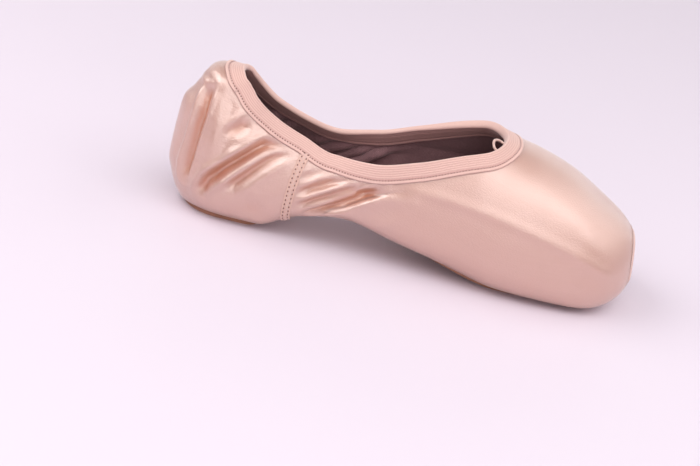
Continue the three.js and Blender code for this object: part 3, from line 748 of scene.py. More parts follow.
class FoldedUpper:
    """The upper's skin with its folds, which the satin and the lining share."""

    def __init__(self, last, folds):
        points, self.quads, places, cloth = upper_sheet(last)
        self.cloth = np.tile(cloth, (2, 1)) / CLOTH_UNIT
        height, wing, fullness = np.zeros((3, len(points)))
        for side in BOTH:
            here = places[:, 2] == side
            height[here] = folds.height(points[here], side, places[here, 1])
            wing[here], fullness[here] = folds.wing_distance(points[here], side, places[here, 1])
        middle = np.abs(points[:, 1]) < MIDDLE
        both = [folds.height(points[middle], side, places[middle, 1]) for side in BOTH]
        height[middle] = 0.5 * (both[0] + both[1])
        self.outer = points + corner_normals(points, self.quads) * height[:, None]
        self.normals = corner_normals(self.outer, self.quads)
        below = np.minimum(*(folds.below_collar(points, side) for side in BOTH))
        self.wall = last.edge_wall(points[:, 0], below)[:, None]
        looks = {
            "softness": 1 - smoothstep(places[:, 0], *SOFT_ENDS),
            # Share of painted shade in the folds' troughs.
            "fold_shade_amount": smoothstep(-height, *FOLD_SHADE_DEPTHS),
            # Signed distance from the wing's edge and how full the edge is, which place the painted shadow
            # line.
            "wing": wing,
            "wing_fullness": fullness,
        }
        self.looks = {key: np.tile(value, 2) for key, value in looks.items()}

    def layer(self, name, near, far, looks=None):
        """A closed layer of cloth between two depths below the folded skin."""
        outside, inside = (self.outer - self.normals * depth for depth in (near, far))
        points, faces = shell(outside, inside, self.quads)
        return make_object(name, points, faces, self.cloth, looks)


def make_upper(folded, sizes, finishes):
    """The satin outside, and the lining that fills the wall to the upper's full thickness."""
    lining_top = folded.wall - sizes.lining_cloth
    satin = folded.layer("upper_satin", 0, 0.5 * lining_top, folded.looks)
    finish_piece(satin, painted("glossy_satin", paint_satin, finishes), "satin", "upper")
    lining = folded.layer("upper_lining", lining_top, folded.wall)
    finish_piece(lining, painted("cotton_lining", paint_lining, finishes.lining), "sock_cloth")


# Elastic round the collar

CLOTH_GAP = 0.15
BINDING_STATION = 0.8
BINDING_ROW = 0.26
BINDING_TOP_STEPS = 14
BINDING_HIDDEN_ROWS = 6
RIB_HEIGHT = 0.16
RIB_FADE = (0.3, 0.9)
STITCH_FROM_EDGE = 1.9
STITCH_GROOVE = 0.3
STITCH_GROOVE_WIDTH = 0.45
EDGE_ROUND = 0.7
EDGE_DROP = 0.75
COLLAR_LOOP_PLACES = (200, 700, 3)
MARCH = 0.25
MARCH_LEAST = 1e-9
PROBE = 0.01


def collar_loop(last):
    """Places of (walk, share of half width) round the collar at even steps, left side first."""
    xs = collar_stations(*COLLAR_LOOP_PLACES)
    walks, shares = x_to_walk(xs), last.collar_share(xs)
    lengths = lengths_along(last.crown(walks, shares))
    marks = np.linspace(0, lengths[-1], round(lengths[-1] / BINDING_STATION) + 1)
    walk, share = np.interp(marks, lengths, walks), np.interp(marks, lengths, shares)
    return np.concatenate([walk, walk[-2:0:-1]]), np.concatenate([share, -share[-2:0:-1]])


def crown_frame(last, walk, across):
    """Outward direction on the upper, and its steps along the walk and across."""
    before = np.maximum(walk - PROBE, 0)
    along = last.crown(walk + PROBE, across) - last.crown(before, across)
    along /= (walk + PROBE - before)[:, None]
    sideways = (last.crown(walk, across + PROBE) - last.crown(walk, across - PROBE)) / (2 * PROBE)
    return unit(np.cross(along, sideways)), along, sideways


def dots(first, second):
    """Scalar products of two lists of vectors."""
    return np.sum(first * second, axis=1)


def step_down(last, walk, across, tangent, step):
    """Places on the upper a step further below the collar, square to its tangent."""
    outward, along, sideways = crown_frame(last, walk, across)
    down = unit(np.cross(outward, tangent))
    along_both, mixed, side_both = dots(along, along), dots(along, sideways), dots(sideways, sideways)
    along_down, side_down = dots(along, down), dots(sideways, down)
    area = along_both * side_both - mixed * mixed
    walk = np.maximum(walk + step * (along_down * side_both - side_down * mixed) / area, 0)
    return walk, across + step * (side_down * along_both - along_down * mixed) / area


def collar_strip(last, depths):
    """Points and outward directions at depths below the collar, and the directions up from its edge."""
    walk, across = collar_loop(last)
    edge = last.crown(walk, across)
    tangent = unit(np.roll(edge, -1, axis=0) - np.roll(edge, 1, axis=0))
    points, outwards, walked = [], [], 0.0
    for depth in depths:
        while walked < depth - MARCH_LEAST:
            step = min(MARCH, depth - walked)
            walk, across = step_down(last, walk, across, tangent, step)
            walked += step
        points.append(last.crown(walk, across))
        outwards.append(crown_frame(last, walk, across)[0])
    return np.stack(points, 1), np.stack(outwards, 1), unit(np.cross(tangent, outwards[0]))


def strip_folds(folds, points):
    """Height of the upper's folds under each point of the collar strip."""
    flat = points.reshape(-1, 3)
    height = np.zeros(len(flat))
    for side in BOTH:
        here = flat[:, 1] * side >= 0
        height[here] = folds.height(flat[here], side, np.ones(int(here.sum())))
    return height.reshape(points.shape[:2])


def rib_profile(sizes, depths):
    """Height of the elastic's face over its plain thickness at depths below the collar."""
    ribs = 0.5 * RIB_HEIGHT * (np.cos(2 * math.pi * depths / sizes.rib_pitch) - 1)
    from_edge = sizes.binding_width - depths
    from_stitch = from_edge - STITCH_FROM_EDGE
    groove = STITCH_GROOVE * bell(from_stitch / STITCH_GROOVE_WIDTH)
    rolled = np.clip(1 - from_edge / EDGE_ROUND, 0, 1)
    rounding = EDGE_DROP * sizes.binding_cloth * (1 - np.sqrt(1 - rolled * rolled))
    return ribs * smoothstep(from_stitch, *RIB_FADE) - groove - rounding


def make_binding(last, folds, finishes):
    """Ribbed elastic folded over the collar's edge. Gives the line and the directions of its stitches."""
    sizes = last.sizes
    depths = np.linspace(0, sizes.binding_width, round(sizes.binding_width / BINDING_ROW) + 1)
    points, outward, ups = collar_strip(last, depths)
    points = points + outward * strip_folds(folds, points)[..., None]
    wall = last.edge_wall(points[:, :1, 0], depths[None, :])
    face = rib_profile(sizes, depths)
    reach = CLOTH_GAP + sizes.binding_cloth

    def moved(distance):
        """The strip moved out by a distance."""
        return points + outward * np.broadcast_to(distance, points.shape[:2])[..., None]

    turns = np.linspace(0, math.pi, BINDING_TOP_STEPS + 2)[1:-1]
    half_wall = 0.5 * wall[:, :1]
    sideways = (half_wall + reach) * np.cos(turns) - half_wall
    raised = ups[:, None] * (reach * np.sin(turns))[:, None]
    loop = np.concatenate([
        moved(reach + face)[:, ::-1],
        points[:, :1] + outward[:, :1] * sideways[..., None] + raised,
        moved(-wall - reach - face),
        moved(-wall - CLOTH_GAP)[:, ::-BINDING_HIDDEN_ROWS],
        moved(CLOTH_GAP)[:, ::BINDING_HIDDEN_ROWS],
    ], axis=1)
    rows, columns = loop.shape[:2]
    lengths = np.cumsum(np.linalg.norm(np.diff(loop, axis=1, prepend=loop[:, :1]), axis=2), axis=1)
    around = np.broadcast_to(BINDING_STATION * np.arange(rows)[:, None], lengths.shape)
    cloth = listed(np.stack([around, lengths], -1)) / CLOTH_UNIT
    # The groove values paint shade where the elastic's face sinks: between the ribs, in the stitch groove and
    # at the rolled edge.
    low = np.clip(-face / RIB_HEIGHT, 0, 1)
    top_ends = len(low) + BINDING_TOP_STEPS
    groove = np.zeros(columns)
    groove[: len(low)] = low[::-1]
    groove[top_ends : top_ends + len(low)] = low
    # The inner values mark the inner face, which is painted darker as shade.
    inner = smoothstep(np.arange(columns), top_ends - 0.5 * BINDING_TOP_STEPS, top_ends)
    values = {"groove": np.tile(groove, rows), "inner": np.tile(inner, rows)}
    quads = grid_quads(rows, columns, closed_rows=True, closed_columns=True)
    obj = make_object("collar_elastic", listed(loop), quads, cloth, values)
    finish_piece(obj, painted("ribbed_elastic", paint_elastic, finishes), "elastic", "collar_binding")
    row = int(np.argmin(np.abs(depths - (sizes.binding_width - STITCH_FROM_EDGE))))
    return points[:, row] + outward[:, row] * (reach + face[row]), outward[:, row]


# Nodes

def give(tree, socket, value):
    """Links a socket to another node's output, or sets a plain value on it."""
    if isinstance(value, bpy.types.NodeSocket):
        tree.links.new(value, socket)
    else:
        socket.default_value = value


def add_node(tree, kind, inputs=None, **options):
    """A node with its options, whose inputs are other nodes' outputs or plain values."""
    made = tree.nodes.new(kind)
    for name, value in options.items():
        setattr(made, name, value)
    for socket, value in (inputs or {}).items():
        give(tree, made.inputs[socket], value)
    return made


# Stitches by geometry nodes

STITCH_SIZES = ("Pitch", "Length", "Width", "Height", "Sink")
THREAD_BALL = {"Segments": 7, "Rings": 6, "Radius": 0.5}


def stitch_tree():
    """Tree that lays short threads along lines that carry the direction out of the cloth."""
    tree = bpy.data.node_groups.new("Stitches", "GeometryNodeTree")
    numbers = [(label, "Float") for label in (*STITCH_SIZES, "Turn")]
    for label, kind in (("Lines", "Geometry"), *numbers, ("Material", "Material")):
        tree.interface.new_socket(label, in_out="INPUT", socket_type="NodeSocket" + kind)
    tree.interface.new_socket("Stitches", in_out="OUTPUT", socket_type="NodeSocketGeometry")

    def add(kind, inputs=None, **options):
        """The first output of a new node."""
        return add_node(tree, kind, inputs, **options).outputs[0]

    given = add_node(tree, "NodeGroupInput").outputs
    outward = add("GeometryNodeInputNamedAttribute", {"Name": "outward"}, data_type="FLOAT_VECTOR")
    line = add("GeometryNodeMeshToCurve", {"Mesh": given["Lines"]})
    even = add("GeometryNodeResampleCurve", {"Curve": line, "Length": given["Pitch"]}, mode="LENGTH")
    lower = add("ShaderNodeMath", {0: given["Sink"], 1: -1}, operation="MULTIPLY")
    sunk = add("ShaderNodeVectorMath", {0: outward, "Scale": lower}, operation="SCALE")
    seats = add("GeometryNodeSetPosition", {"Geometry": even, "Offset": sunk})
    stand = add("FunctionNodeAlignRotationToVector", {"Vector": outward}, axis="Z")
    lie_along = {"Rotation": stand, "Vector": add("GeometryNodeInputTangent")}
    lie = add("FunctionNodeAlignRotationToVector", lie_along, axis="X", pivot_axis="Z")
    odd = add("ShaderNodeMath", {0: add("GeometryNodeInputIndex"), 1: 2}, operation="MODULO")
    sign = add("ShaderNodeMath", {0: odd, 1: 2, 2: -1}, operation="MULTIPLY_ADD")
    swing = add("ShaderNodeMath", {0: sign, 1: given["Turn"]}, operation="MULTIPLY")
    swung = add("FunctionNodeEulerToRotation", {"Euler": add("ShaderNodeCombineXYZ", {"Z": swing})})
    turned = add("FunctionNodeRotateRotation", {"Rotation": lie, "Rotate By": swung}, rotation_space="LOCAL")
    scale = add("ShaderNodeCombineXYZ", {"X": given["Length"], "Y": given["Width"], "Z": given["Height"]})
    ball = add("GeometryNodeMeshUVSphere", THREAD_BALL)
    threads = {"Points": seats, "Instance": ball, "Rotation": turned, "Scale": scale}
    real = add("GeometryNodeRealizeInstances", {"Geometry": add("GeometryNodeInstanceOnPoints", threads)})
    smooth = add("GeometryNodeSetShadeSmooth", {"Geometry": real})
    made = add("GeometryNodeSetMaterial", {"Geometry": smooth, "Material": given["Material"]})
    add_node(tree, "NodeGroupOutput", {"Stitches": made})
    return tree


def sew(name, rows, material, slot, turn=0, **sizes):
    """A piece of stitches along rows of (points, outward directions, closed), sizes in millimetres."""
    points, outward, edges = [], [], []
    for line, out, closed in rows:
        numbers = len(points) + np.arange(len(line))
        pairs = np.stack([numbers, np.roll(numbers, -1)], -1).tolist()
        edges.extend(pairs if closed else pairs[:-1])
        points.extend(placed(line))
        outward.extend(out.tolist())
    mesh = bpy.data.meshes.new(name + "_lines")
    mesh.from_pydata(points, edges, [])
    attribute = mesh.attributes.new("outward", "FLOAT_VECTOR", "POINT")
    attribute.data.foreach_set("vector", np.array(outward, np.float32).ravel())
    guide = linked(name + "_lines", mesh)
    modifier = guide.modifiers.new("Stitches", "NODES")
    modifier.node_group = bpy.data.node_groups.get("Stitches") or stitch_tree()
    values = {label: sizes[label.lower()] * MM for label in STITCH_SIZES}
    values.update(Turn=math.radians(turn), Material=material)
    for item in modifier.node_group.interface.items_tree:
        if item.name in values:
            modifier[item.identifier] = values[item.name]
    bpy.context.view_layer.update()
    evaluated = guide.evaluated_get(bpy.context.evaluated_depsgraph_get())
    made = bpy.data.meshes.new_from_object(evaluated)
    made.name = name
    guide.modifiers.clear()
    bpy.data.objects.remove(guide)
    if not made.polygons:
        raise RuntimeError(name + " came out empty")
    finish_piece(linked(name, made), material, slot)


def shifted(line, outward, distance, closed):
    """A row of (points, outward directions, closed) that starts a distance further along the line."""
    count = len(line)
    if closed:
        line, outward = (np.concatenate([values, values[:1]]) for values in (line, outward))
    marks = lengths_along(line)
    if closed:
        places = (marks[:count] + distance) % marks[-1]
    else:
        places = np.linspace(distance, marks[-1], count)
    rows = [[np.interp(places, marks, column) for column in values.T] for values in (line, outward)]
    return (*(np.stack(columns, -1) for columns in rows), closed)


# Side seams

# Middle of the seam: rows of (share, x).
SEAM = [(0.24, 61), (0.34, 60.4), (0.5, 60.6), (0.65, 61.4), (0.8, 63), (0.9, 64.6)]
SEAM_END = 0.86
SEAM_CLOTH = 0.6
SEAM_ACROSS = 18
SEAM_ALONG = 70
SEAM_ROW = 1.15
SEAM_EDGE_DROP = 0.35
SEAM_EDGE_ROUND = 0.7
SEAM_GROOVE = 0.22
SEAM_GROOVE_WIDTH = 0.4
SEAM_FOLD_HEIGHT = 0.35
SEAM_FOLD_WIDTH = 0.45
SEAM_FOLD_FROM_EDGE = 0.5
UNDERSIDE_GAP = 0.05


def seam_profile(across, half):
    """Height of the seam band at places across it: rounded edges, two grooves and a rolled front edge."""
    rounded = SEAM_EDGE_DROP * smoothstep(np.abs(across), half - SEAM_EDGE_ROUND, half)
    grooves = SEAM_GROOVE * sum(bell((across - row) / SEAM_GROOVE_WIDTH) for row in (SEAM_ROW, -SEAM_ROW))
    fold = SEAM_FOLD_HEIGHT * bell((across - half + SEAM_FOLD_FROM_EDGE) / SEAM_FOLD_WIDTH)
    return GAP + SEAM_CLOTH - rounded - grooves + fold


def make_seam(last, folds, finishes, side, name, node):
    """The flat band of a side seam. Gives its two rows of stitches and its middle."""
    shares = np.linspace(SEAM[0][0], SEAM_END, SEAM_ALONG)
    half = 0.5 * last.sizes.seam_width
    across = side * np.linspace(half, -half, SEAM_ACROSS + 1)
    xs = curve_through(SEAM)(shares)[:, None] + across[None, :]
    base = last.skin(xs, shares[:, None], side)
    quads = grid_quads(*base.shape[:2])
    flat = listed(base)
    normals = corner_normals(flat, quads)
    height = folds.height(flat, side, np.repeat(shares, len(across)))
    lift = np.tile(seam_profile(across, half), len(shares))
    top = flat + normals * (height + lift)[:, None]
    under = flat + normals * (height + UNDERSIDE_GAP)[:, None]
    points, faces = shell(top, under, quads)
    along = lengths_along(base[:, 0])
    cloth = listed(np.stack(np.broadcast_arrays(along[:, None], across[None, :]), -1))
    obj = make_object(name, points, faces, np.tile(cloth, (2, 1)) / CLOTH_UNIT)
    finish_piece(obj, painted("seam_satin", paint_seam, finishes.seam), "seam_cloth", node)
    columns = [int(np.argmin(np.abs(across - place))) for place in (-SEAM_ROW, SEAM_ROW, 0)]
    top, normals = top.reshape(base.shape), normals.reshape(base.shape)
    *pair, middle = ((top[:, column], normals[:, column], False) for column in columns)
    return pair, middle


# Platform cover

PATCH_CLOTH = 0.7
PATCH_TURN = math.radians(75)
PATCH_BORDER = 0.12
PATCH_EDGE_STEPS = 12
PATCH_AROUND = 70
PATCH_END_STEPS = 30
PATCH_STITCH_FROM = 0.52


def make_platform(last, finishes):
    """The cover of the toe tip and a little of its rim. Gives the line and directions of its stitches."""
    xs = rim_stations(last, np.linspace(PATCH_TURN, QUARTER_TURN, PATCH_EDGE_STEPS + 1))
    grid, places = ring_grid(last, xs, PATCH_AROUND)
    rows, columns = grid.shape[:2]
    end = end_cap(grid[-1], PATCH_END_STEPS)
    sheet, quads, kept, own = merged(listed(grid, end), capped_quads(grid, end))
    normals = corner_normals(sheet, quads)
    from_edge = np.minimum(kept // columns, rows)
    outer = sheet + normals * (PATCH_BORDER + PATCH_CLOTH * smoothstep(from_edge, 0, rows))[:, None]
    wall, faces = shell(outer, sheet + normals * UNDERSIDE_GAP, quads)
    obj = make_object("platform_cover", wall, faces, np.tile(sheet[:, 1:], (2, 1)) / CLOTH_UNIT)
    look = painted("platform_satin", paint_platform, finishes.platform)
    finish_piece(obj, look, "platform_cloth", "platform_patch")
    sewn = np.flatnonzero(places[0, :, 1] > PATCH_STITCH_FROM)
    left = sewn >= columns // 2
    found = own[np.concatenate([sewn[left], sewn[~left]])]
    return sheet[found] + normals[found] * PATCH_BORDER, normals[found]


# Soles and sock

# Each shape: start, end, share of the upper's half width, length of the back end and of the front end.
FORE_SOLE = (112, 216, 0.64, 44, 20)
HEEL_SOLE = (3, 50, 0.64, 20, 12)
SOCK_SHAPE = (6, 212, 0.57, 22, 24)
SOCK_GAP = 0.6
SOLE_ACROSS = 28
SOLE_END_STEPS = 24
SOLE_STEP = 2.5
SOLE_ROUND = 0.5
SOLE_ROUND_STEPS = 3
SOLE_ROUND_ANGLE = 50


def sole_half(last, shape, x):
    """Half width of a sole shape at x, running to a round end."""
    start, end, share, heel_end, toe_end = shape
    back = np.clip((x - start) / heel_end, 0, 1)
    front = np.clip((end - x) / toe_end, 0, 1)
    return last.side_half(x) * share * np.sqrt((1 - (1 - back) ** 2) * (1 - (1 - front) ** 2))


def sole_sheet(last, shape):
    """Points on the upper's underside with a sole shape's outline, facing down."""
    start, end, _, heel_end, toe_end = shape
    turns = np.linspace(0, QUARTER_TURN, SOLE_END_STEPS + 1)
    back = start + heel_end * (1 - np.cos(turns))
    front = end - toe_end * (1 - np.sin(turns))
    steps = max(round((front[0] - back[-1]) / SOLE_STEP), 2)
    xs = np.concatenate([back, np.linspace(back[-1], front[0], steps + 1)[1:-1], front])
    across = np.sin(np.linspace(-QUARTER_TURN, QUARTER_TURN, SOLE_ACROSS + 1))
    ys = sole_half(last, shape, xs)[:, None] * across[None, :]
    grid_x = np.broadcast_to(xs[:, None], ys.shape)
    points = last.leaned(grid_x, ys, last.bottom_height(grid_x, ys))
    return merged(listed(points), grid_quads(*points.shape[:2]))[:2]


def make_layer(name, sheet, quads, low, high):
    """A layer between two heights over a sheet, with soft edges."""
    up = np.array([0, 0, 1.0])
    points, faces = shell(sheet + up * low, sheet + up * high, quads)
    obj = make_object(name, points, faces, points[:, :2] / CLOTH_UNIT)
    bevel = obj.modifiers.new("Soft edge", "BEVEL")
    bevel.width = SOLE_ROUND * MM
    bevel.segments = SOLE_ROUND_STEPS
    bevel.limit_method = "ANGLE"
    bevel.angle_limit = math.radians(SOLE_ROUND_ANGLE)
    return obj


def make_soles(last, finishes):
    """The two leather pieces of the split sole."""
    leather = painted("brown_leather", paint_leather, finishes.leather)
    for name, shape, node in (
        ("fore_sole", FORE_SOLE, "outsole_fore"),
        ("heel_sole", HEEL_SOLE, "outsole_heel"),
    ):
        obj = make_layer(name, *sole_sheet(last, shape), -GAP - last.sizes.sole_leather, -GAP)
        finish_piece(obj, leather, "sole_leather", node)


def make_sock(last, finishes):
    """The sock that lies inside on the sole."""
    sheet, quads = sole_sheet(last, SOCK_SHAPE)
    low = (last.wall(sheet[:, 0]) + SOCK_GAP)[:, None]
    obj = make_layer("sock", sheet, quads, low, low + last.sizes.sock_cloth)
    finish_piece(obj, painted("cotton_lining", paint_lining, finishes.lining), "sock_cloth", "insole")


# Drawcord

# Bow of the loop: rows of (x, rise over the elastic).
CORD_BOW = [(157.3, 0.4), (156.9, 1.9), (155.8, 2.6), (154.5, 1.7), (153.5, -0.25)]
CORD_SUNK = 2.2
CORD_SIDES = 16
CORD_STEP = 0.25
CORD_FINE = 20
CORD_TWIST = 2.6
CORD_STRANDS = 3
CORD_LOBE = 0.14
# Room between the collar's edge and the solid elastic over it.
EDGE_GAP = 0.9


def cord_route(last):
    """Points of the loop, bowed in from the elastic's edge at the right front corner of the throat."""
    seat = EDGE_GAP + last.sizes.binding_cloth + GAP + 0.5 * last.sizes.cord_diameter
    sunk = [(x, -CORD_SUNK) for x, _ in (CORD_BOW[0], CORD_BOW[-1])]
    return np.array([over_collar(last, x, seat + rise) for x, rise in (sunk[0], *CORD_BOW, sunk[1])])


def over_collar(last, x, rise):
    """A point over the middle of the wall's edge on the right side of the collar."""
    places = x + np.array([-PROBE, 0, PROBE])
    walks, across = x_to_walk(places), -last.collar_share(places)
    behind, here, ahead = last.crown(walks, across)
    outward = crown_frame(last, walks[1:2], across[1:2])[0][0]
    up = unit(np.cross(behind - ahead, outward))
    return here - outward * 0.5 * last.edge_wall(x, 0) + up * rise


def smooth_line(points, step):
    """A curve through a few points, at even steps."""
    knots = np.concatenate([[2 * points[0] - points[1]], points, [2 * points[-1] - points[-2]]])
    t = np.linspace(0, 1, CORD_FINE, endpoint=False)[:, None]
    fine = []
    for a, b, c, d in zip(knots[:-3], knots[1:-2], knots[2:-1], knots[3:]):
        square = 2 * a - 5 * b + 4 * c - d
        cube = 3 * b - a - 3 * c + d
        fine.append(0.5 * (2 * b + (c - a) * t + square * t**2 + cube * t**3))
    return spread(np.concatenate([*fine, points[-1:]]), step)[0]


def make_drawcord(last, finishes):
    """The small loop of twisted cord."""
    line = smooth_line(cord_route(last), CORD_STEP)
    tangent = unit(np.gradient(line, axis=0))
    first = unit(np.cross(tangent, np.array([1.0, 0, 0])))
    second = np.cross(tangent, first)
    angles = np.linspace(0, 2 * math.pi, CORD_SIDES, endpoint=False)
    twist = CORD_STEP * np.arange(len(line)) / CORD_TWIST * 2 * math.pi
    lobes = 1 - CORD_LOBE + CORD_LOBE * np.cos(CORD_STRANDS * (angles[None, :] - twist[:, None]))
    radius = 0.5 * last.sizes.cord_diameter * lobes
    ring = first[:, None] * np.cos(angles)[None, :, None] + second[:, None] * np.sin(angles)[None, :, None]
    points = listed(line[:, None] + ring * radius[..., None])
    here = np.arange(CORD_SIDES)
    there = np.roll(here, -1)
    end = len(points) - CORD_SIDES
    tips = [np.full(CORD_SIDES, len(points) + number) for number in range(2)]
    faces = np.concatenate([
        grid_quads(len(line), CORD_SIDES, closed_columns=True),
        np.stack([there, here, tips[0], tips[0]], -1),
        np.stack([end + here, end + there, tips[1], tips[1]], -1),
    ])
    obj = make_object("drawcord", np.concatenate([points, line[:1], line[-1:]]), faces[:, ::-1])
    finish_piece(obj, painted("cord_thread", paint_thread, finishes.elastic), "cord", "drawcord_loop")


# Materials

# Scale at which a wave texture has one band for each unit.
WAVE_SCALE = 2 * math.pi / 20
# Painted shadow line behind the wing's edge: where it has gone and where it is full, at its back and its
# front.
WING_SHADOW_BACK = (-1.5, -0.6)
WING_SHADOW_FRONT = (-0.1, -0.6)
WING_SHADOW_DEPTH = 0.7


class Shader:
    """A new material and short ways to add nodes to it."""

    def __init__(self, name):
        self.material = bpy.data.materials.new(name)
        self.material.use_nodes = True
        self.tree = self.material.node_tree
        self.surface = self.tree.nodes["Principled BSDF"]

    def set(self, **values):
        """Sets the surface's own sockets to plain values or to other nodes' outputs."""
        for name, value in values.items():
            label = name.replace("_", " ").title().replace("Ior", "IOR")
            give(self.tree, self.surface.inputs[label], value)

    def node(self, kind, inputs=None, **options):
        """The outputs of a new node."""
        return add_node(self.tree, kind, inputs, **options).outputs

    def cloth_place(self, along, around):
        """Cloth coordinates in millimetres times a scale for each direction."""
        uv = self.node("ShaderNodeUVMap", uv_map="cloth")["UV"]
        scale = (CLOTH_UNIT * along, CLOTH_UNIT * around, 1)
        return self.node("ShaderNodeMapping", {"Vector": uv, "Scale": scale})["Vector"]

    def shoe_place(self):
        """Object coordinates."""
        return self.node("ShaderNodeTexCoord")["Object"]

    def noise(self, place, scale=1, detail=3, roughness=0.6):
        """Uneven values between 0 and 1."""
        inputs = {"Vector": place, "Scale": scale, "Detail": detail, "Roughness": roughness}
        return self.node("ShaderNodeTexNoise", inputs)["Fac"]

    def ramp(self, value, low, high):
        """A value moved from 0..1 to a range."""
        return self.node("ShaderNodeMapRange", {"Value": value, "To Min": low, "To Max": high})["Result"]

    def between(self, value, low, high):
        """A soft step of a value from 0 at low to 1 at high."""
        inputs = {"Value": value, "From Min": low, "From Max": high}
        return self.node("ShaderNodeMapRange", inputs, interpolation_type="SMOOTHSTEP")["Result"]

    def mix(self, value, first, second):
        """A colour between two, each a plain colour or another node's, by a value."""
        made = add_node(self.tree, "ShaderNodeMix", {"Factor": value}, data_type="RGBA")
        colours = [socket for socket in made.inputs if socket.type == "RGBA"]
        for socket, given in zip(colours, (first, second)):
            give(self.tree, socket, given if isinstance(given, bpy.types.NodeSocket) else (*given, 1))
        return next(socket for socket in made.outputs if socket.type == "RGBA")

    def math(self, operation, first, second):
        """A sum, a product or another operation on two values."""
        return self.node("ShaderNodeMath", {0: first, 1: second}, operation=operation)[0]

    def times(self, first, second):
        """The product of two values."""
        return self.math("MULTIPLY", first, second)

    def bump(self, value, strength, distance, before=None):
        """Bump of a height in millimetres, over an earlier one."""
        inputs = {"Height": value, "Strength": strength, "Distance": distance * MM}
        if before is not None:
            inputs["Normal"] = before
        return self.node("ShaderNodeBump", inputs)["Normal"]

    def attribute(self, name):
        """A value that the mesh carries."""
        return self.node("ShaderNodeAttribute", attribute_name=name)["Fac"]

    def wave(self, place, direction):
        """Even bands across one direction of the cloth, one for each unit of the place."""
        inputs = {"Vector": place, "Scale": WAVE_SCALE}
        return self.node("ShaderNodeTexWave", inputs, bands_direction=direction)["Fac"]

    def along_cloth(self):
        """Direction of the cloth's threads, for the gloss."""
        return self.node("ShaderNodeTangent", direction_type="UV_MAP", uv_map="cloth")["Tangent"]


def painted(name, paint, finish):
    """A material by name, painted the first time that it is asked for."""
    found = bpy.data.materials.get(name)
    if found:
        return found
    shader = Shader(name)
    paint(shader, finish)
    return shader.material


def toned(tint, share):
    """A colour made darker by a share below 1 or lighter by one above it."""
    return tuple(min(share * value, 1) for value in tint)


def paint_satin(shader, finishes):
    """Glossy satin with threads, soft puckers, painted shade in its folds and a painted shadow line behind
    the wing of the box.
    """
    threads = shader.noise(shader.cloth_place(along=0.35, around=4.5))
    cloud = shader.noise(shader.shoe_place(), scale=42, roughness=0.55)
    streaks = shader.noise(shader.cloth_place(along=0.02, around=0.7), detail=2, roughness=0.5)
    tone = shader.math("ADD", shader.times(cloud, 0.5), shader.times(streaks, 0.4))
    plain = shader.mix(tone, finishes.satin, finishes.satin_deep)
    # Painted shade: a deeper, more orange colour in the folds' troughs.
    fold_shaded = shader.mix(shader.attribute("fold_shade_amount"), plain, finishes.satin_painted_fold_shade)
    wing, softness = shader.attribute("wing"), shader.attribute("softness")
    # Painted shadow: a dark line just behind the wing's edge.
    line = shader.times(shader.between(wing, *WING_SHADOW_BACK), shader.between(wing, *WING_SHADOW_FRONT))
    line = shader.times(line, shader.attribute("wing_fullness"))
    wing_shadowed = shader.mix(shader.times(line, WING_SHADOW_DEPTH), fold_shaded, finishes.satin_shadow)
    puckers = shader.noise(shader.cloth_place(along=0.1, around=0.16), detail=2, roughness=0.5)
    crinkle = shader.noise(shader.cloth_place(along=0.45, around=0.9))
    grain = shader.noise(shader.cloth_place(along=0.9, around=1.5))
    normal = shader.bump(shader.times(puckers, softness), strength=0.35, distance=1.2)
    normal = shader.bump(shader.times(crinkle, softness), strength=0.5, distance=0.3, before=normal)
    normal = shader.bump(grain, strength=0.8, distance=0.25, before=normal)
    normal = shader.bump(threads, strength=0.25, distance=0.05, before=normal)
    shader.set(base_color=wing_shadowed, metallic=0.2, normal=normal)
    shader.set(roughness=shader.ramp(threads, low=0.26, high=0.46))
    shader.set(anisotropic=0.5, tangent=shader.along_cloth(), sheen_weight=0.2, sheen_roughness=0.35)
    shader.set(coat_weight=0.9, coat_roughness=0.29, coat_normal=normal)
    shader.set(coat_ior=shader.ramp(softness, low=2.4, high=2.6))


def paint_seam(shader, tint):
    """Sewn satin with coarser threads."""
    threads = shader.noise(shader.cloth_place(along=1.2, around=2.4))
    normal = shader.bump(threads, strength=0.4, distance=0.15)
    shader.set(base_color=shader.mix(threads, tint, toned(tint, share=0.82)), normal=normal)
    shader.set(roughness=0.42, sheen_weight=0.2)


def paint_elastic(shader, finishes):
    """Knitted elastic, with random fuzz, painted shade between its ribs and painted shade over its inner
    face.
    """
    knit = shader.wave(shader.cloth_place(along=1.6, around=0), "X")
    fuzz = shader.noise(shader.cloth_place(along=2.2, around=3.0))
    both = shader.math("ADD", shader.times(knit, 0.6), fuzz)
    # Darker by random fuzz, and by painted shade where the face sinks.
    tone = shader.math("MAXIMUM", shader.ramp(fuzz, low=0.0, high=0.5), shader.attribute("groove"))
    face = shader.mix(tone, finishes.elastic, finishes.elastic_fuzz_and_groove_shade)
    # The inner face takes a darker colour as painted shade.
    faces_with_inner_shade = shader.mix(shader.attribute("inner"), face, finishes.elastic_inside_shade)
    shader.set(base_color=faces_with_inner_shade, normal=shader.bump(both, strength=0.5, distance=0.12))
    shader.set(roughness=0.68, sheen_weight=0.35, sheen_roughness=0.4)


def paint_lining(shader, tint):
    """Plain woven cotton."""
    warp = shader.wave(shader.cloth_place(along=1.5, around=0), "X")
    weft = shader.wave(shader.cloth_place(along=0, around=1.5), "Y")
    weave = shader.times(warp, weft)
    fuzz = shader.noise(shader.shoe_place(), scale=900)
    tone = shader.ramp(shader.math("ADD", shader.times(weave, 0.5), fuzz), low=0.0, high=0.8)
    normal = shader.bump(shader.math("ADD", weave, fuzz), strength=0.6, distance=0.18)
    shader.set(base_color=shader.mix(tone, toned(tint, share=0.6), tint), normal=normal)
    shader.set(roughness=0.9, sheen_weight=0.2)


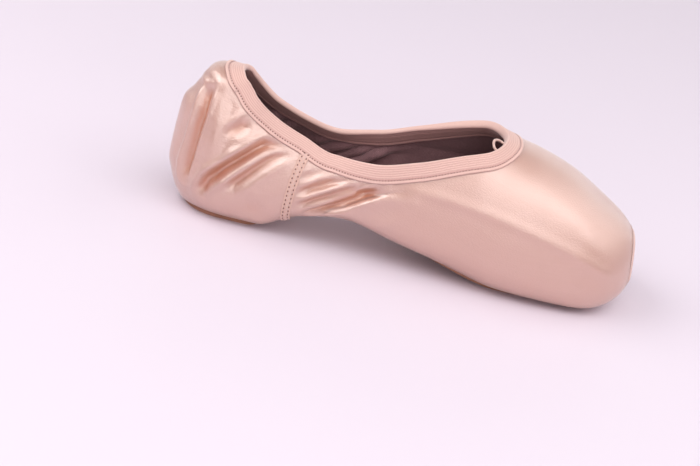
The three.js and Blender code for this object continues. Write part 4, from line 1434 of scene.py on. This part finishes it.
def paint_platform(shader, tint):
    """Cloth with a softer gloss than the satin."""
    threads = shader.noise(shader.cloth_place(along=3.0, around=0.6))
    tone = shader.noise(shader.shoe_place(), scale=90, detail=4)
    normal = shader.bump(threads, strength=0.35, distance=0.08)
    shader.set(base_color=shader.mix(tone, tint, toned(tint, share=0.86)), normal=normal)
    shader.set(roughness=shader.ramp(threads, low=0.42, high=0.58), sheen_weight=0.2, sheen_roughness=0.4)


def paint_leather(shader, tint):
    """Matte leather with grain and wear."""
    place = shader.shoe_place()
    grain = shader.noise(place, scale=1400, detail=4, roughness=0.65)
    wear = shader.noise(place, scale=60, detail=4)
    normal = shader.bump(grain, strength=0.5, distance=0.2)
    shader.set(base_color=shader.mix(wear, tint, toned(tint, share=1.7)), normal=normal)
    shader.set(roughness=shader.ramp(grain, low=0.6, high=0.85))


def paint_thread(shader, tint):
    """Twisted thread."""
    twist = shader.noise(shader.shoe_place(), scale=2600, detail=2, roughness=0.5)
    shader.set(base_color=shader.mix(twist, tint, toned(tint, share=0.75)), roughness=0.5, sheen_weight=0.2)


# Stage

CAMERA_AZIMUTH = -4.0
CAMERA_ELEVATION = 23.1
CAMERA_ROLL = 14.9
CAMERA_DISTANCE = 975
CAMERA_TARGET = (117.5, 0, 30)
FOCAL_PIXELS = 1970
IMAGE_SIZE = (700, 466)
TARGET_PIXEL = (409.3, 187.2)
SENSOR = 36
CLIP_START = 0.01
CLIP_END = 50
FLOOR_HALF = 4
FLOOR_ROUGHNESS = 0.55
SKY_COLOUR = (0.95, 0.92, 1.0, 1)
SKY_STRENGTH = 0.2
OVERHEAD_PLACE = (0, 0.2, 2.4)
OVERHEAD_POWER = 3
OVERHEAD_BREADTH = (2.4, 2.4)
LIGHT_AIM = (0, 0, 0.03)
# Each light: name, azimuth and elevation in degrees, distance, power, breadth.
LIGHTS = [
    ("left", -82, 45, 1.2, 11, (1.25, 0.9)),
    ("front", 28, 57, 1.25, 10.5, (1.5, 1.1)),
    ("low", 8, 19, 1.3, 3.4, (1.2, 0.07)),
    ("right", 100, 38, 1.2, 6, (1.6, 0.9)),
    ("behind", 175, 14, 1.6, 7, (3.0, 0.8)),
]


def aimed_from(azimuth, elevation, distance):
    """A place around the shoe, by degrees from its right side towards the toe and up from the floor."""
    turn, rise = math.radians(azimuth), math.radians(elevation)
    level = distance * math.cos(rise)
    return Vector((level * math.sin(turn), -level * math.cos(turn), distance * math.sin(rise)))


def make_camera():
    """A camera at the photograph's angle to the shoe, with the shoe where the photograph has it."""
    back = aimed_from(CAMERA_AZIMUTH, CAMERA_ELEVATION, 1)
    place = Vector(CAMERA_TARGET) * MM + HEEL_BACK_AT + back * CAMERA_DISTANCE * MM
    right = Vector((0, 0, 1)).cross(back).normalized()
    up = back.cross(right)
    roll = math.radians(CAMERA_ROLL)
    right, up = right * math.cos(roll) + up * math.sin(roll), up * math.cos(roll) - right * math.sin(roll)
    off_right = (TARGET_PIXEL[0] - 0.5 * IMAGE_SIZE[0]) / FOCAL_PIXELS
    off_up = (0.5 * IMAGE_SIZE[1] - TARGET_PIXEL[1]) / FOCAL_PIXELS
    aim = (back + right * off_right + up * off_up).normalized()
    right = (right - aim * right.dot(aim)).normalized()
    data = bpy.data.cameras.new("camera")
    data.sensor_width = SENSOR
    data.lens = SENSOR * FOCAL_PIXELS / IMAGE_SIZE[0]
    data.clip_start, data.clip_end = CLIP_START, CLIP_END
    camera = linked("camera", data)
    turned = Matrix((right, aim.cross(right), aim)).transposed().to_4x4()
    camera.matrix_world = Matrix.Translation(place) @ turned
    bpy.context.scene.camera = camera


def make_light(name, place, aim, power, breadth):
    """A soft rectangular light."""
    data = bpy.data.lights.new(name, "AREA")
    data.shape = "RECTANGLE"
    data.energy, data.size, data.size_y = power, *breadth
    light = linked(name, data)
    light.location = place
    light.rotation_euler = (Vector(aim) - Vector(place)).to_track_quat("-Z", "Y").to_euler()


def make_floor(finishes):
    """The pale floor."""
    half = FLOOR_HALF
    corners = [(-half, -half, 0), (half, -half, 0), (half, half, 0), (-half, half, 0)]
    mesh = bpy.data.meshes.new("floor")
    mesh.from_pydata(corners, [], [(0, 1, 2, 3)])
    shader = Shader("floor")
    shader.set(base_color=(*finishes.floor, 1), roughness=FLOOR_ROUGHNESS)
    mesh.materials.append(shader.material)
    linked("floor", mesh)


def make_stage(finishes):
    """Pale floor, soft studio light and the camera."""
    make_floor(finishes)
    world = bpy.data.worlds.new("studio")
    world.use_nodes = True
    background = world.node_tree.nodes["Background"]
    background.inputs["Color"].default_value = SKY_COLOUR
    background.inputs["Strength"].default_value = SKY_STRENGTH
    bpy.context.scene.world = world
    bpy.context.scene.view_settings.view_transform = "Standard"
    make_light("overhead", OVERHEAD_PLACE, (0, 0, 0), OVERHEAD_POWER, OVERHEAD_BREADTH)
    for name, azimuth, elevation, distance, power, breadth in LIGHTS:
        make_light(name, aimed_from(azimuth, elevation, distance), LIGHT_AIM, power, breadth)
    make_camera()


# Operators

# Threads, and the dark marks of painted shade in the needle holes, in millimetres. Threads turn by some
# degrees, one way and then the other.
COLLAR_HOLE_SHADE = {"length": 0.9, "width": 0.75, "height": 0.45, "sink": 0}
SEAM_HOLE_SHADE = {"length": 1.1, "width": 0.8, "height": 0.6, "sink": 0}
SEAM_CROSSING = {"length": 2.6, "width": 0.35, "height": 0.35, "sink": -0.02, "turn": 55}
PLATFORM_STITCH = {"length": 0.4, "width": 1.5, "height": 0.3, "sink": 0, "turn": 20}


class PieceOperator:
    """What the operators share: the last, its folds and the finishes."""

    bl_options = {"REGISTER", "UNDO"}

    def execute(self, context):
        """Makes the pieces from the scene's settings."""
        sizes, finishes = settings()
        last = Last(sizes)
        self.make(last, Folds(last), finishes)
        return {"FINISHED"}


class POINTESHOE_OT_upper(PieceOperator, bpy.types.Operator):
    """Makes the folded satin upper and its lining"""

    bl_idname = "pointe_shoe.upper"
    bl_label = "Upper and lining"

    def make(self, last, folds, finishes):
        """The satin and the lining share one folded skin."""
        make_upper(FoldedUpper(last, folds), last.sizes, finishes)


class POINTESHOE_OT_collar(PieceOperator, bpy.types.Operator):
    """Makes the ribbed elastic round the collar and its stitches"""

    bl_idname = "pointe_shoe.collar"
    bl_label = "Collar elastic"

    def make(self, last, folds, finishes):
        """The elastic, its stitches, and a dark mark of painted needle-hole shade between each two of them.
        """
        pitch, width = last.sizes.collar_stitch, last.sizes.thread
        line, outward = make_binding(last, folds, finishes)
        thread = painted("collar_thread", paint_thread, finishes.thread)
        stitch = {"length": 0.8 * pitch, "width": 0.9 * width, "height": 0.8 * width, "sink": -0.05}
        sew("collar_stitches", [(line, outward, True)], thread, "elastic", pitch=pitch, **stitch)
        hole_shade = painted("needle_hole_shade", paint_thread, finishes.needle_hole_shade)
        between = [shifted(line, outward, 0.5 * pitch, True)]
        sew("collar_needle_hole_shades", between, hole_shade, "elastic", pitch=pitch, **COLLAR_HOLE_SHADE)


class POINTESHOE_OT_seams(PieceOperator, bpy.types.Operator):
    """Makes the flat side seams and their stitches"""

    bl_idname = "pointe_shoe.seams"
    bl_label = "Side seams"

    def make(self, last, folds, finishes):
        """The two bands, their stitches with dark marks of painted needle-hole shade, and the crossing
        threads between the rows.
        """
        pitch, width = last.sizes.seam_stitch, last.sizes.thread
        rows, middles = [], []
        for side, name, node in (
            (RIGHT, "seam_band_right", "side_seam_right"),
            (LEFT, "seam_band_left", "side_seam_left"),
        ):
            pair, middle = make_seam(last, folds, finishes, side, name, node)
            rows.extend(pair)
            middles.append(middle)
        thread = painted("seam_thread", paint_thread, finishes.thread)
        stitch = {"length": 0.75 * pitch, "width": width, "height": width, "sink": -0.02}
        sew("seam_stitches", rows, thread, "seam_cloth", pitch=pitch, **stitch)
        sew("seam_crossing_threads", middles, thread, "seam_cloth", pitch=0.5 * pitch, **SEAM_CROSSING)
        hole_shade = painted("needle_hole_shade", paint_thread, finishes.needle_hole_shade)
        between = [shifted(line, outward, 0.5 * pitch, False) for line, outward, _ in rows]
        sew("seam_needle_hole_shades", between, hole_shade, "seam_cloth", pitch=pitch, **SEAM_HOLE_SHADE)


class POINTESHOE_OT_platform(PieceOperator, bpy.types.Operator):
    """Makes the cover of the platform and the close stitches over its edge"""

    bl_idname = "pointe_shoe.platform"
    bl_label = "Platform cover"

    def make(self, last, folds, finishes):
        """The cover and its stitches."""
        row = (*make_platform(last, finishes), False)
        thread = painted("platform_thread", paint_thread, finishes.edge_thread)
        pitch = last.sizes.platform_stitch
        sew("platform_stitches", [row], thread, "platform_cloth", pitch=pitch, **PLATFORM_STITCH)


class POINTESHOE_OT_soles(PieceOperator, bpy.types.Operator):
    """Makes the leather soles and the sock"""

    bl_idname = "pointe_shoe.soles"
    bl_label = "Soles and sock"

    def make(self, last, folds, finishes):
        """The two soles and the sock."""
        make_soles(last, finishes)
        make_sock(last, finishes)


class POINTESHOE_OT_drawcord(PieceOperator, bpy.types.Operator):
    """Makes the loop of drawcord at the throat"""

    bl_idname = "pointe_shoe.drawcord"
    bl_label = "Drawcord"

    def make(self, last, folds, finishes):
        """The loop."""
        make_drawcord(last, finishes)


class POINTESHOE_OT_stage(PieceOperator, bpy.types.Operator):
    """Makes the floor, the lights and the camera"""

    bl_idname = "pointe_shoe.stage"
    bl_label = "Stage"

    def make(self, last, folds, finishes):
        """The whole stage."""
        make_stage(finishes)


OPERATORS = (
    POINTESHOE_OT_stage,
    POINTESHOE_OT_upper,
    POINTESHOE_OT_collar,
    POINTESHOE_OT_seams,
    POINTESHOE_OT_platform,
    POINTESHOE_OT_soles,
    POINTESHOE_OT_drawcord,
)


class POINTESHOE_PT_panel(bpy.types.Panel):
    """Lists the pieces, the sizes and the finishes"""

    bl_idname = "POINTESHOE_PT_panel"
    bl_label = "Pointe shoe"
    bl_space_type = "VIEW_3D"
    bl_region_type = "UI"
    bl_category = "Pointe shoe"

    def draw(self, context):
        """A button for each operator, then the settings."""
        for operator in OPERATORS:
            self.layout.operator(operator.bl_idname)
        for group in (context.scene.pointe_shoe.sizes, context.scene.pointe_shoe.finishes):
            column = self.layout.column()
            for name in type(group).__annotations__:
                column.prop(group, name)


CLASSES = (PointeShoeSizes, PointeShoeFinishes, PointeShoeSettings, *OPERATORS, POINTESHOE_PT_panel)


def register():
    """Adds the classes and the scene's settings."""
    for kind in CLASSES:
        bpy.utils.register_class(kind)
    bpy.types.Scene.pointe_shoe = PointerProperty(type=PointeShoeSettings)


def unregister():
    """Takes the settings and the classes away again."""
    del bpy.types.Scene.pointe_shoe
    for kind in reversed(CLASSES):
        bpy.utils.unregister_class(kind)


def main():
    """Registers the add-on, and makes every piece."""
    register()
    for operator in OPERATORS:
        group, name = operator.bl_idname.split(".")
        getattr(getattr(bpy.ops, group), name)()


if __name__ == "__main__":
    main()
